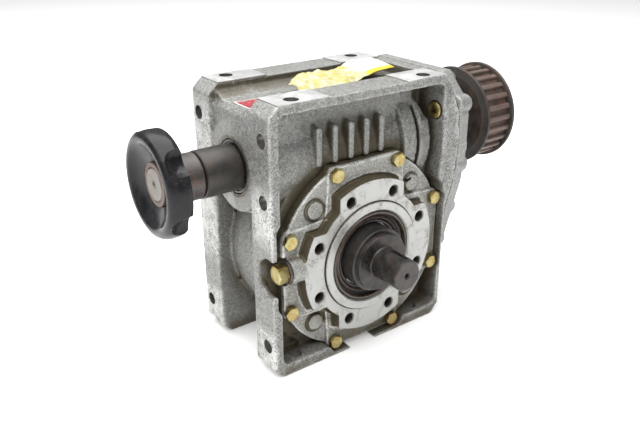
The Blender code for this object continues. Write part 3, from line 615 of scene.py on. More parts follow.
BOLT_NEAR, BOLT_FAR = 28.8, 69.4
BOLT_PLACES = four_fold([(BOLT_FAR, -BOLT_NEAR), (BOLT_FAR, BOLT_NEAR)])
LOBE_REACH, LOBE_HALF, LOBE_CORNER, BODY_RADIUS = 74.6, 35.5, 4.0, 78.0
FLANGE_OUTLINE = (
    (37, 204.5), (52, 190), (59.5, 175), (60.5, 147), (57.5, 120), (51.5, 96), (43, 62), (30, 44), (12, 36),
)
FLANGE_BOSSES = ((33, 196), (52, 181), (52.5, 133), (43.5, 94), (34.5, 61))
UPPER_SCREW = (42.5, 177.0)
HOLE_RADIUS = 5.25
TAP_CIRCLE = 52.2


def frame_outline():
    cut = 7.7
    return [
        (LEFT_X + cut, 0), (RIGHT_X - cut, 0), (RIGHT_X, cut), (RIGHT_X, CAST_TOP - cut),
        (RIGHT_X - cut, CAST_TOP), (LEFT_X + cut, CAST_TOP), (LEFT_X, CAST_TOP - cut), (LEFT_X, cut),
    ]


def window_outline():
    """The recess in each frame: wider beside the cover than at its top."""
    return rounded([
        (-80.0, 9.0), (73.0, 9.0), (73.0, 118.0), (68.3, 123.0), (68.3, 199.0), (-80.0, 199.0),
        (-80.0, 124.0), (-83.4, 119.0), (-83.4, 58.0), (-80.0, 52.0),
    ], 6.5)


def flange_outline(scale=1.0, top=HEIGHT):
    right = [(y * scale, min(z, top)) for y, z in FLANGE_OUTLINE]
    return right + [(-y, z) for y, z in reversed(right)]


def cover_outline(margin=0.0):
    reach, half, radius = LOBE_REACH + margin, LOBE_HALF + margin, BODY_RADIUS + margin
    start = math.asin(half / radius)
    side = reach - LOBE_CORNER
    lobe = [(side, -half), (reach, -half + LOBE_CORNER), (reach, half - LOBE_CORNER), (side, half)]
    return four_fold(lobe + arc(radius, start, math.pi / 2 - start, 8))


def land_outline():
    points = []
    for x, z in circle(86.0, 96):
        points.append((min(max(x, -82.0), RIGHT_X - 1), max(z + OUTPUT_HEIGHT, 0.6)))
    return [p for k, p in enumerate(points) if p != points[k - 1]]


def housing_parts(side):
    """What stands on one side of the middle: sealing land, worm barrel ribs and small cast details."""
    y0, y1 = span(side, FRAME_INNER_Y + 1, PAD_Y)
    parts = [plate(land_outline(), "Y", y0, y1)]
    for k in range(5):
        x = -38.7 + 14.2 * k
        y0, y1 = span(side, 24.0, 39.6)
        rib = [(x - 2.4, 153.0), (x + 2.4, 153.0), (x + 2.4, 180.5 - 0.25 * k), (x - 2.4, 181.5)]
        parts.append(plate(rounded(rib, 1.8), "Y", y0, y1))
    y0, y1 = span(side, 29.0, 31.6)
    parts.append(block((-61.0, y0, 189.0), (-58.8, y1, 200.0)))
    parts.append(plate([(side * 15.5, DECK), (side * 27, 200.8), (side * 27, 190)], "X", -82.0, 72.0))
    return parts


def housing_holes(side):
    """Drilled and milled after casting."""
    holes = []
    y = side * HOLE_Y
    for x in HOLE_X:
        holes.append(rod("Z", (x, y), HOLE_RADIUS, 193, HEIGHT + 1, 40))
        holes.append(rod("Z", (x, y), HOLE_RADIUS, -1, 14, 40))
    for z in SIDE_HOLES:
        holes.append(rod("X", (y, z), HOLE_RADIUS, LEFT_X - 1, -75, 40))
    holes.append(rod("X", (side * UPPER_SCREW[0], UPPER_SCREW[1]), 4.0, 60, JOINT_X + 1, 32))
    holes.append(rod("X", (side * UPPER_SCREW[0], UPPER_SCREW[1]), 7.4, 56, 73.9, 40))
    for x, z in BOLT_PLACES:
        y0, y1 = span(side, 24.0, PAD_Y + 1)
        holes.append(rod("Y", (x, z + OUTPUT_HEIGHT), 3.3, y0, y1, 20))
    return holes


def housing_hollows(side):
    """Cast hollows, which keep their soft edges."""
    y0, y1 = span(side, PAD_Y, FRAME_Y + 1)
    pocket = [(x, z + OUTPUT_HEIGHT) for x, z in cover_outline(0.7)]
    hollows = [
        plate(pocket, "Y", y0, y1),
        plate([(-17, -1), (6.5, -1), (8.5, 6), (7, 12), (-18, 12), (-19, 4)], "Y", y0, y1),
    ]
    if side < 0:
        hollows.append(rod("X", (-PLUG_Y - 2, PLUG_HEIGHT), 14.6, LEFT_X - 1, -70, 48))
    for x in HOLE_X:
        hollows.append(rod("Z", (x, side * HOLE_Y), 11.6, 9.0, 20.0, 48))
    y0, y1 = span(side, 23.0, 60.0)
    corner = [(64.0, 168.0), (68.3, 168.0), (68.3, 197.5), (55.0, 197.5), (55.0, 188.0)]
    hollows.append(plate(rounded(corner, 2.0), "Y", y0, y1))
    return hollows


def build_housing():
    outline = frame_outline()
    made = plate(outline, "Y", -FRAME_Y, -FRAME_INNER_Y)
    bearing_end = [[(66.0, y, z) for y, z in flange_outline(FRAME_Y / 60.5, CAST_TOP - 0.6)],
                   [(JOINT_X, y, z) for y, z in flange_outline(1.0, HEIGHT - 1.5)]]
    deck = [(-85, 150), (-85, 190.5), (-80.5, DECK), (75.9, DECK), (75.9, 150)]
    rear_frame = plate(outline, "Y", FRAME_INNER_Y, FRAME_Y)
    combine(made, "UNION", [rear_frame, plate(deck, "Y", -28, 28), loft(bearing_end)])
    windows = []
    for side in (-1, 1):
        y0, y1 = span(side, WEB_Y, FRAME_Y + 1)
        windows.append(plate(window_outline(), "Y", y0, y1))
    combine(made, "DIFFERENCE", windows)
    body = [
        rod("X", (0, WORM_HEIGHT), 33.3, -85.7, -60),
        rod("X", (0, WORM_HEIGHT), 36.0, -79, 60),
        rod("X", (0, WORM_HEIGHT), 43.5, 38, 50.5, 96),
        rod("X", (0, WORM_HEIGHT), 44.5, 53, 63, 96),
        rod("Y", (0, OUTPUT_HEIGHT), 76.4, -PAD_Y + 1, PAD_Y - 1, 96),
    ]
    combine(made, "UNION", body + mirrored(housing_parts))
    combine(made, "DIFFERENCE", mirrored(housing_hollows) + [rod("Y", (0, OUTPUT_HEIGHT), 67.6, -40, 40, 96)])
    soften(made, 1.05, 3, 0.42, 0.5)
    pads = []
    for side in (-1, 1):
        y0, y1 = span(side, FRAME_INNER_Y + 0.3, FRAME_Y - 0.5)
        pads.append(block((LEFT_X + 8.2, y0, 203.0), (-39.2, y1, HEIGHT)))
        pads.append(block((30.5, y0, 203.0), (RIGHT_X - 8.2, y1, HEIGHT)))
    combine(made, "UNION", pads, "MANIFOLD")
    bore = lathe([
        (0, 80.7), (31.3, 80.7), (31.3, 50), (26.3, 50), (26.3, -78.2), (20.6, -78.2), (20.2, -86.2),
        (20.6, -90), (0, -90),
    ], "worm")
    flats = [bore, block((JOINT_X, -70, 20), (JOINT_X + 5, 70, 215))]
    for side in (-1, 1):
        y0, y1 = span(side, PAD_Y + 0.15, PAD_Y + 3)
        flats.append(plate([(x, z + OUTPUT_HEIGHT) for x, z in cover_outline(0.4)], "Y", y0, y1))
    combine(made, "DIFFERENCE", flats + mirrored(housing_holes), "MANIFOLD")
    return made


def dress_housing(made):
    """Bright milled pads on top and underneath, drilled holes, the worn left faces, and oil stains with painted
    shade.
    """
    mesh = made.data
    centre, normal = face_arrays(mesh)
    give(mesh, [CAST, MACHINED, MACHINED_WORN_SHADED, SHADED_HOLE_WALL])
    mark_faces(mesh, (normal[:, 2] > 0.95) & (centre[:, 2] > HEIGHT - 0.05), 1)
    near_hole = np.zeros(len(centre), bool)
    reach = HOLE_RADIUS + 0.15
    upright, lying = abs(normal[:, 2]) < 0.2, abs(normal[:, 0]) < 0.2
    for x in HOLE_X:
        for side in (-1, 1):
            near_hole |= upright & (np.hypot(centre[:, 0] - x, centre[:, 1] - side * HOLE_Y) < reach)
    for z in SIDE_HOLES:
        for side in (-1, 1):
            near = np.hypot(centre[:, 2] - z, centre[:, 1] - side * HOLE_Y) < reach
            near_hole |= lying & near & (centre[:, 0] < -74)
    mark_faces(mesh, near_hole, 3)
    mark_faces(mesh, (normal[:, 2] < -0.95) & (centre[:, 2] < 1.0), 2)
    x, y, z = points_of(mesh).T
    face = fade(x, -86.6, -85.2)
    front, rear = face * (y < 0), face * (y > 0)
    worn = front * np.maximum(fade(abs(z - 127), 8, 26), fade(z, 34, 42)) * fade(y, -34, -24)
    worn = np.maximum(worn, rear * np.maximum(fade(abs(z - 130), 55, 70), fade(z, 34, 42)) * 0.8)
    worn = np.maximum(worn, fade(abs(x + 86), 2.5, 3.5) * fade(z, 3, 9) * 0.5)
    lip = fade(outline_distance(np.stack([x, z], axis=1), window_outline()), 0.9, 2.2)
    lip = np.maximum(lip, fade(outline_distance(np.stack([x, z], axis=1), frame_outline()), 0.8, 2.2))
    lip = lip * fade(-abs(y), -FRAME_Y + 0.4, -FRAME_Y + 1.6) * 0.35
    land = np.hypot(x, z - OUTPUT_HEIGHT)
    # The sealing land around each cover is darkened.
    wall = fade(-abs(y), -34.0, -32.5) * fade(abs(y), 36.0, 37.0)
    wall = wall * fade(land, 84.0, 97.0)
    seat = fade(x, -80, -78) * fade(np.hypot(y, z - WORM_HEIGHT), 21.2, 22.4)
    # Painted shade with a brown stain on the frames' inner walls above the deck.
    deck_wall = fade(abs(y), 26.6, 28.0) * fade(-z, -196.5, -195.9) * fade(z, 204.6, 205.6) * fade(x, 60, 70)
    point_values(mesh, "shine", np.clip(worn + lip, 0, 1))
    # These values mix oil stains with painted shade.
    point_values(mesh, "stain_and_shade", np.clip(0.5 * wall + 0.4 * deck_wall + seat, 0, 1))


housing = build_housing()
dress_housing(housing)
piece(housing, "housing_casting", "gearcase", (), ["housing"], 50)


# Covers -------------------------------------------------------------------------------------------


def annulus_outline(grow=0.0):
    outer, inner, arm = 60.8 + grow, 51.5 + grow, 30.0 + grow * 0.6
    wide, narrow = math.asin(arm / outer), math.asin(arm / inner)
    return four_fold(arc(outer, -wide, wide, 14) + arc(inner, narrow, math.pi / 2 - narrow, 5))


def lobe_cross():
    side = LOBE_REACH - LOBE_CORNER
    end = [(LOBE_REACH, -LOBE_HALF + LOBE_CORNER), (LOBE_REACH, LOBE_HALF - LOBE_CORNER)]
    return four_fold([(side, -LOBE_HALF)] + end + [(side, LOBE_HALF), (LOBE_HALF + 2, LOBE_HALF + 2)])


def build_cover(axis, with_plug):
    made = plate(cover_outline(), "Z", COVER_BACK, COVER_FLOOR, axis)
    parts = [plate(lobe_cross(), "Z", COVER_BACK + 0.5, COVER_FACE, axis)]
    for x, y in circle(65.0, 4, math.pi / 4):
        parts.append(rod("Z", (x, y), 6.6, COVER_BACK + 1, COVER_FACE, 40, axis))
    parts.append(plate(annulus_outline(0.3), "Z", COVER_FLOOR - 2, ANNULUS_FACE + 0.5, axis))
    if with_plug:
        parts.append(rod("X", (PLUG_HEIGHT - OUTPUT_HEIGHT, PLUG_Y), 9.8, -72.4, -61, 48, axis))
        parts.append(ball((-61, PLUG_HEIGHT - OUTPUT_HEIGHT, PLUG_Y), 9.7, axis))
    combine(made, "UNION", parts)
    moat = plate(annulus_outline(2.3), "Z", COVER_FACE - 1.3, COVER_FACE + 0.5, axis)
    combine(moat, "DIFFERENCE", [plate(annulus_outline(0.3), "Z", 30, 60, axis)])
    hollows = [moat]
    for x, y in circle(65.0, 4, math.pi / 4):
        ditch = rod("Z", (x, y), 8.8, COVER_FLOOR - 1.2, COVER_FACE + 2, 40, axis)
        away = plate(lobe_cross(), "Z", 30, 60, axis)
        combine(ditch, "DIFFERENCE", [rod("Z", (x, y), 6.6, 30, 60, 40, axis), away])
        hollows.append(ditch)
    slot = rounded([(-3.9, -1.3), (3.9, -1.3), (3.9, 1.3), (-3.9, 1.3)], 1.2)
    turn = math.radians(17)
    c, s = math.cos(turn), math.sin(turn)
    slot = [(41.5 + x * c - y * s, 48.8 + x * s + y * c) for x, y in slot]
    hollows.append(plate(slot, "Z", COVER_FLOOR - 2.5, 50, axis))
    combine(made, "DIFFERENCE", hollows)
    soften(made, 0.7, 2, 0.36, 0.35)
    inside = [lathe([(61.5, 28), (66.9, 28), (66.9, 36), (61.5, 36)], axis, FINE, ring=True),
              lathe([(30, 28.3), (47.5, 28.3), (47.5, 40), (30, 40)], axis, FINE, ring=True)]
    combine(made, "UNION", inside, "MANIFOLD")
    bore = [(0, 60), (38.0, 60), (38.0, 54.2), (36.3, 52.6), (36.3, 45.9), (40.3, 45.9), (40.3, 20), (0, 20)]
    cuts = [rod("Z", (0, 0), 62, ANNULUS_FACE, 60, 96, axis), lathe(bore, axis, 96)]
    combine(made, "DIFFERENCE", cuts, "MANIFOLD")
    spigot = lathe([
        (36.3, 48), (36.3, 52.8), (37.5, SPIGOT_FACE), (43.1, SPIGOT_FACE), (43.5, SPIGOT_FACE - 0.4),
        (43.5, 48),
    ], axis, 96, ring=True)
    combine(made, "UNION", [spigot], "MANIFOLD")
    cuts = [lathe([(43.5, 51.2), (44.5, 51.2), (44.5, 54.2), (43.5, 54.2)], axis, 96, ring=True)]
    for x, y in BOLT_PLACES:
        cuts.append(rod("Z", (x, y), 3.4, 30, 47, 24, axis))
        cuts.append(rod("Z", (x, y), 6.6, COVER_FACE, 50, 40, axis))
    for x, y in circle(TAP_CIRCLE, 8, math.pi / 8):
        cuts.append(rod("Z", (x, y), 4.0, 38, 56, 32, axis))
        cuts.append(rod("Z", (x, y), 3.9, ANNULUS_FACE - 0.9, ANNULUS_FACE + 0.3, 32, axis, 5.1))
    if with_plug:
        place = (PLUG_HEIGHT - OUTPUT_HEIGHT, PLUG_Y)
        cuts.append(rod("X", place, 5.7, -73, -63, 32, axis))
        cuts.append(rod("X", place, 11.5, -84, -71.75, 48, axis))
    return combine(made, "DIFFERENCE", cuts, "MANIFOLD")


def dress_cover(made, side):
    mesh = made.data
    points = points_of(mesh)
    flat = np.stack([-side * points[:, 0], points[:, 2] - OUTPUT_HEIGHT], axis=1)
    near = outline_distance(flat, annulus_outline(0.3))
    out = side * points[:, 1]
    wall = fade(near, 1.6, 2.6) * fade(out, 51.6, 52.2) * fade(-out, -42.6, -41.5)
    rim = fade(abs(near - 3.0), 0.5, 1.2) * fade(abs(out - COVER_FACE), 0.7, 1.4)
    lobe = outline_distance(flat, lobe_cross())
    # The cover's side wall is darkened: oil stain and painted shade.
    skirt = fade(out, 41.2, 42.0)
    edge = fade(lobe, 0.7, 1.7) * fade(abs(out - COVER_FACE), 0.5, 1.0)
    outer = fade(outline_distance(flat, cover_outline()), 0.8, 1.8) * fade(-out, -41.9, -41.0)
    edge = np.maximum(edge, outer)
    point_values(mesh, "stain_and_shade", np.clip(wall + 0.75 * skirt, 0, 1))
    point_values(mesh, "shine", np.clip(rim + edge, 0, 1))
    centre, normal = face_arrays(mesh)
    give(mesh, [COVER_CAST, MACHINED_WORN_SHADED, SHADED_HOLE_WALL])
    out, reach = side * centre[:, 1], np.hypot(centre[:, 0], centre[:, 2] - OUTPUT_HEIGHT)
    mark_faces(mesh, (side * normal[:, 1] > 0.9) & (out > ANNULUS_FACE - 0.05) & (reach < 61.2), 1)
    mark_faces(mesh, (reach < 38.3) & (out > 45.5), 1)
    threads = np.zeros(len(centre), bool)
    for x, z in circle(TAP_CIRCLE, 8, math.pi / 8):
        threads |= np.hypot(centre[:, 0] - x, centre[:, 2] - z - OUTPUT_HEIGHT) < 4.6
    mark_faces(mesh, threads & (out < ANNULUS_FACE - 0.04), 2)


for cover_side, cover_axis, cover_node in ((-1, "front", "front_cover"), (1, "rear", "rear_cover")):
    cover = build_cover(cover_axis, cover_side < 0)
    dress_cover(cover, cover_side)
    piece(cover, f"{cover_node}_casting", "gearcase", (), [cover_node], 40)


# Input flange -------------------------------------------------------------------------------------


def build_flange():
    left, right = JOINT_X + 0.3, JOINT_X + 9.6
    made = plate(flange_outline(), "X", left, right)
    parts = []
    for side in (-1, 1):
        for y, z in FLANGE_BOSSES:
            parts.append(rod("X", (side * y, z), 7.4, left + 0.5, right + 2.5, 40))
            parts.append(ball((right + 0.6, side * y, z), 7.2))
    boss = [(0, 96), (32, 96), (33.5, 94.5), (35.5, right - 1), (35.5, left + 2), (0, left + 2)]
    parts.append(lathe(boss, "worm"))
    combine(made, "UNION", parts)
    soften(made, 0.9, 4, 0.4, 0.2)
    spigot = lathe([(0, left + 2.5), (30.9, left + 2.5), (30.9, 66.6), (0, 66.6)], "worm")
    combine(made, "UNION", [spigot], "MANIFOLD")
    cuts = [block((left - 3, -90, 0), (left, 90, 60)), block((left - 3, -90, 60), (left, -31, 230)),
            block((left - 3, 31, 60), (left, 90, 230))]
    combine(made, "DIFFERENCE", cuts, "MANIFOLD")
    bore = [
        (0, 100), (18.0, 100), (17.5, 99), (17.5, 80.3), (23.7, 80.3), (23.7, 71.5), (27.0, 71.5), (27.0, 60),
        (0, 60),
    ]
    cuts = [
        block((right + 4.5, -90, 0), (right + 20, 90, 115)),
        block((right + 4.5, 38, 110), (right + 20, 90, 230)),
        block((right + 4.5, -90, 110), (right + 20, -38, 230)),
        lathe(bore, "worm"),
    ]
    for side in (-1, 1):
        cuts.append(rod("X", (side * UPPER_SCREW[0], UPPER_SCREW[1]), 4.0, left - 2, right - 3, 24))
    return combine(made, "DIFFERENCE", cuts, "MANIFOLD")


flange = build_flange()
piece(flange, "input_flange_casting", "gearcase", [FLANGE_CAST], ["input_flange"], 50)


# Fasteners ----------------------------------------------------------------------------------------


def hexagon_bolt(flats, low, high, shank, tip):
    """A hexagon head with a round chamfer, a shallow dish and a washer face, about local Z."""
    corner = flats / math.sqrt(3)
    head = plate(circle(corner, 6, math.pi / 6), "Z", low, high)
    shape = lathe([
        (0, high - 0.25), (flats * 0.30, high - 0.15), (flats * 0.40, high), (flats * 0.46, high),
        (corner + 0.1, high - (corner - flats * 0.46) * 0.55), (corner + 0.1, low + 0.35),
        (corner * 0.93, low), (0, low),
    ], "box", 72)
    combine(head, "INTERSECT", [shape])
    stem = [(0, low + 0.5), (shank, low + 0.5), (shank, tip + 1), (shank * 0.8, tip), (0, tip)]
    return combine(head, "UNION", [lathe(stem, "box", 24)])


def socket_screw(radius, length, shank, reach):
    """A cap screw about local Z with its head's face at 0: knurled rim and hexagon socket."""
    knurls = 72
    rim = []
    for k in range(knurls):
        reach_out = radius - (0.18 if k % 2 else 0.0)
        a = 2 * math.pi * k / knurls
        rim.append((reach_out * math.cos(a), reach_out * math.sin(a)))
    head = plate(rim, "Z", -length, -0.01)
    edge = lathe([
        (0, 0), (radius - 0.9, 0), (radius + 0.1, -0.9), (radius + 0.1, -length - 0.01), (0, -length - 0.01),
    ], "box", knurls)
    combine(head, "INTERSECT", [edge])
    combine(head, "DIFFERENCE", [plate(circle(radius * 0.56, 6), "Z", -length * 0.6, 1)])
    return combine(head, "UNION", [rod("Z", (0, 0), shank, -length - reach, -length + 0.5, 24)])


def copies(source, places, material, body="gearcase"):
    """One piece per (node, matrix in gearbox millimetres), from the same shape."""
    for node, matrix in places:
        made = bpy.data.objects.new(node, source.data.copy())
        WORK.objects.link(made)
        made.data.transform(matrix)
        piece(made, f"{node}_shape", body, [material], [node], 30)
    bpy.data.objects.remove(source)


turns = random.Random(SEED)
bolt_spots = []
for side_name in ("front", "rear"):
    for number, (x, y) in enumerate(BOLT_PLACES, 1):
        turn = Matrix.Rotation(turns.uniform(0, math.pi / 3), 4, "Z")
        place = AXES[side_name] @ Matrix.Translation((x, y, 0)) @ turn
        bolt_spots.append((f"{side_name}_cover_bolt_{number}", place))
copies(hexagon_bolt(10.0, COVER_FACE + 0.1, 48.6, 2.9, 25.5), bolt_spots, ZINC)

screw_spots = []
TO_LEFT = Matrix.Rotation(-math.pi / 2, 4, "Y")
for number, side in enumerate((-1, 1), 1):
    place = Matrix.Translation((66.3, side * UPPER_SCREW[0], UPPER_SCREW[1])) @ TO_LEFT
    screw_spots.append((f"flange_screw_{number}", place))
copies(socket_screw(6.5, 7.5, 3.5, 10.0), screw_spots, ZINC)

plug_place = Matrix.Translation((PLUG_SEAT_X, -PLUG_Y, PLUG_HEIGHT)) @ TO_LEFT
copies(hexagon_bolt(13.0, 0.2, 8.2, 5.2, -8.0), [("oil_plug", plug_place)], ZINC)
washer = lathe([
    (5.5, -1.6), (8.4, -1.6), (8.8, -1.2), (8.8, -0.4), (8.4, 0.0), (5.5, 0.0),
], "box", 48, ring=True)
copies(washer, [("plug_washer", plug_place)], COLLAR_STEEL)
rear_screw = hexagon_bolt(16.0, 65.8, 72.4, 4.6, 38.5)
copies(rear_screw, [("retaining_screw", AXES["rear"])], ZINC, "output_line")


# Output line --------------------------------------------------------------------------------------


def build_output_shaft():
    """Centre-drilled stub with a turned keyway, a shoulder, and a long keyed end inside the hub."""
    tip, keyway_turn = 92.7, math.radians(-22)
    made = lathe([
        (0, tip - 5), (1.7, tip - 4.2), (1.9, tip - 0.8), (2.7, tip), (11.0, tip), (12.0, tip - 1.0),
        (12.0, 67.2), (12.8, 66.1), (21.9, 66.0), (22.5, 65.4), (22.5, 62.2), (22.1, 61.8), (15.0, 61.8),
        (15.0, -58.0), (5.0, -58.0), (5.0, -36), (0, -36),
    ], "front", 96)
    key = plate(rounded([(-4, 71), (4, 71), (4, 89.5), (-4, 89.5)], 3.9, 8), "Y", 8.0, 20, "front")
    key.data.transform(AXES["front"] @ Matrix.Rotation(keyway_turn, 4, "Z") @ AXES["front"].inverted())
    return combine(made, "DIFFERENCE", [key, block((-4.3, 10.7, -46), (4.3, 20, 46), "front")])


piece(build_output_shaft(), "output_shaft_shape", "output_line", [DARK_STEEL], ["output_shaft"])
hub = lathe([
    (15.3, 61.5), (24.4, 61.5), (25.0, 60.9), (25.0, 28), (29, 27), (31, 15.5), (39.8, 12.5), (39.8, -12.5),
    (31, -15.5), (29, -27), (25.0, -28), (25.0, -60.9), (24.4, -61.5), (15.3, -61.5),
], "front", 80, ring=True)
combine(hub, "DIFFERENCE", [block((-4.3, 10, -62.5), (4.3, 18.6, 62.5), "front")])
piece(hub, "wheel_hub_shape", "output_line", [SLEEVE_STEEL], ["wheel_hub"])
disc = lathe([
    (5.4, 61.8), (21.4, 61.8), (22, 62.4), (22, 65.0), (21.4, 65.6), (5.4, 65.6),
], "rear", 80, ring=True)
piece(disc, "retaining_washer_shape", "output_line", [GREY_STEEL], ["retaining_washer"])

LIP = [
    (35.9, 46.2), (35.9, 52.6), (35.2, 53.3), (34.0, 53.3), (33.3, 52.3), (32.6, 50.0), (31.6, 49.3),
    (30.6, 50.3), (29.4, 50.6), (28.4, 49.8), (27.4, 48.9), (26.4, 49.1), (25.6, 48.3), (25.6, 46.2),
]
for side_name in ("front", "rear"):
    node = f"{side_name}_output_seal"
    piece(lathe(LIP, side_name, 112, ring=True), f"{node}_shape", "gearcase", [RUBBER], [node])


# Worm line ----------------------------------------------------------------------------------------


def build_worm():
    """Shaft with its thread, both ends chamfered and centre drilled."""
    module, pitch, turn_steps = 4.0, 15.0, 48
    lead, root = math.pi * 4.0, 10.2
    turns_count = 50.0 / lead
    count = round(turn_steps * turns_count)
    slope = math.tan(math.radians(20))
    sunk = root - 0.5
    sections = []
    for k in range(count + 1):
        angle = 2 * math.pi * (k / turn_steps - turns_count / 2)
        run_in = min(1.0, (min(k, count - k) + 1.6) / 16)
        tip = root + (pitch + module - root) * run_in
        low_half = math.pi * module / 4 + (pitch - sunk) * slope
        tip_half = math.pi * module / 4 - module * slope
        middle = lead * angle / (2 * math.pi)
        shape = ((sunk, -low_half), (tip, -tip_half), (tip, tip_half), (sunk, low_half))
        sections.append([(r * math.cos(angle), r * math.sin(angle), middle + z) for r, z in shape])
    made = lathe([
        (0, 163.0), (1.6, 163.5), (2.6, 166.5), (11, 166.5), (12, 165.5), (12, 97), (14.9, 97), (14.9, 50.2),
        (18, 50.2), (18, 35), (root, 31), (root, -31), (15.5, -36), (15.5, -62.8), (12.4, -62.8),
        (12.4, -85.6), (11.65, -85.6), (11.65, -144.7), (10.9, -145.5), (2.6, -145.5), (1.6, -143.0),
        (0, -142.0),
    ], "worm")
    combine(made, "UNION", [loft(sections, "worm")])
    return combine(made, "DIFFERENCE", [block((-20, -4.15, 118), (-8.0, 4.15, 170), "worm")])


piece(build_worm(), "worm_shaft_shape", "worm_line", [GREY_STEEL], ["worm_shaft"])


def build_handwheel():
    """Rounded rim, dished front, five finger grooves with round ends that open at the back."""
    front, back, radius = -151.0, -134.5, 37.5
    made = lathe([
        (15.2, back), (19, back), (20, back - 3), (29, back - 3), (30, back), (34.8, back), (36.2, back - 0.7),
        (37.1, back - 2.3), (radius, back - 5), (radius, back - 8.5), (37.2, front + 5.2), (36.3, front + 3.0),
        (35.0, front + 1.3), (33.2, front + 0.3), (31.2, front), (29.6, front + 0.4), (28.3, front + 1.4),
        (26.6, front + 2.9), (23.5, front + 4.6), (19.5, front + 6.2), (16.6, front + 7.2), (15.6, front + 7.6),
        (15.2, front + 8.2),
    ], "worm", 144, ring=True)
    groove, reach, start = 12.4, 44.0, front + 12.0
    cuts = []
    for k in range(5):
        a = math.radians(72 * k - 128)
        x, y = reach * math.cos(a), reach * math.sin(a)
        cuts.append(rod("Z", (x, y), groove, start, back + 6, 96, "worm"))
        cuts.append(ball((x, y, start), groove, "worm"))
    combine(made, "DIFFERENCE", cuts)
    bevel = made.modifiers.new("bevel", "BEVEL")
    bevel.width = 0.7
    bevel.segments = 3
    bevel.limit_method = "ANGLE"
    bevel.angle_limit = math.radians(32)
    return finalise(made)


piece(build_handwheel(), "handwheel_shape", "worm_line", [PLASTIC], ["handwheel"], 45)
bush = lathe([(11.95, -145.0), (14.9, -145.0), (14.9, -135.7), (11.95, -135.7)], "worm", 64, ring=True)
piece(bush, "handwheel_bushing_shape", "worm_line", [RUSTY], ["handwheel_bushing"])
tube = lathe([
    (11.95, -114.3), (16.4, -114.3), (17.0, -113.7), (17.0, -87.6), (16.5, -87.2), (16.5, -86.2),
    (11.95, -86.2),
], "worm", 80, ring=True)
piece(tube, "shaft_sleeve_shape", "worm_line", [SLEEVE_STEEL], ["shaft_sleeve"])
ring = lathe([
    (11.95, -134.0), (16.0, -134.0), (16.6, -133.4), (16.6, -116.4), (16.0, -115.6), (11.95, -115.6),
], "worm", 80, ring=True)
piece(ring, "shaft_collar_shape", "worm_line", [COLLAR_STEEL], ["shaft_collar"])
seal = lathe([
    (12.7, -78.5), (19.9, -78.5), (19.9, -85.0), (19.2, -85.6), (17.9, -85.6), (17.2, -84.6), (15.4, -84.4),
    (14.2, -85.2), (12.7, -85.2),
], "worm", 80, ring=True)
piece(seal, "worm_left_seal_shape", "gearcase", [RUBBER], ["worm_left_seal"])


def pulley_outline():
    """T10 tooth gaps with rounded corners."""
    step = 2 * math.pi / 25
    corners = []
    for k in range(25):
        for radius, share in ((36.2, -0.22), (36.2, 0.22), (38.85, 0.32), (38.85, 0.68)):
            angle = step * (k + share)
            corners.append((radius * math.cos(angle), radius * math.sin(angle)))
    return rounded(corners, 0.6, 2)


def build_pulley():
    left, right, thin = 133.0, 165.5, 2.4
    made = plate(pulley_outline(), "Z", left + thin + 0.2, right - thin - 0.2, "worm")
    hub_part = lathe([
        (0, right), (32.4, right), (33, right - 0.6), (33, left), (24, left), (24, 99.6), (23.4, 99), (0, 99),
    ], "worm", 96)
    combine(made, "UNION", [hub_part])
    return combine(made, "DIFFERENCE", [
        rod("Z", (0, 0), 12.3, 90, 170, 64, "worm"), block((-15.6, -4.3, 90), (0, 4.3, 170), "worm"),
        lathe([(18, right - 6), (29, right - 6), (29, right + 2), (18, right + 2)], "worm", 96, ring=True),
    ])


pulley = build_pulley()
give(pulley.data, [FLANGE_STEEL, RUSTY])
middles = face_arrays(pulley.data)[0]
mark_faces(pulley.data, np.hypot(middles[:, 1], middles[:, 2] - WORM_HEIGHT) > 35.0, 1)
piece(pulley, "pulley_shape", "worm_line", (), ["pulley"])
for node, low, high in (("pulley_flange_inner", 133.0, 135.4), ("pulley_flange_outer", 163.1, 165.5)):
    profile = [(33.3, low), (40.9, low), (41.5, low + 0.5), (41.5, high - 0.5), (40.9, high), (33.3, high)]
    flat_ring = lathe(profile, "worm", 112, ring=True)
    piece(flat_ring, f"{node}_shape", "worm_line", [FLANGE_STEEL], [node])


# Label and sticker --------------------------------------------------------------------------------


def spline(points, t):
    """A smooth curve through the points, from t = 0 to 1."""
    place = t * (len(points) - 1)
    k = min(int(place), len(points) - 2)
    f = place - k
    p = [Vector(points[max(0, min(len(points) - 1, k + i))]) for i in (-1, 0, 1, 2)]
    return 0.5 * (2 * p[1] + (p[2] - p[0]) * f + (2 * p[0] - 5 * p[1] + 4 * p[2] - p[3]) * f * f
                  + (3 * p[1] - p[0] - 3 * p[2] + p[3]) * f ** 3)


def skin(rows, thickness, values):
    """A thin curved sheet through rows of points, with named numbers at its points."""
    bm = bmesh.new()
    grid = [[bm.verts.new(point) for point in row] for row in rows]
    for first, second in zip(grid, grid[1:]):
        for j in range(len(first) - 1):
            bm.faces.new((first[j], second[j], second[j + 1], first[j + 1]))
    made = solid(bm)
    for name, numbers in values.items():
        point_values(made.data, name, np.array(numbers))
    thick = made.modifiers.new("thick", "SOLIDIFY")
    thick.thickness = thickness
    return finalise(made)


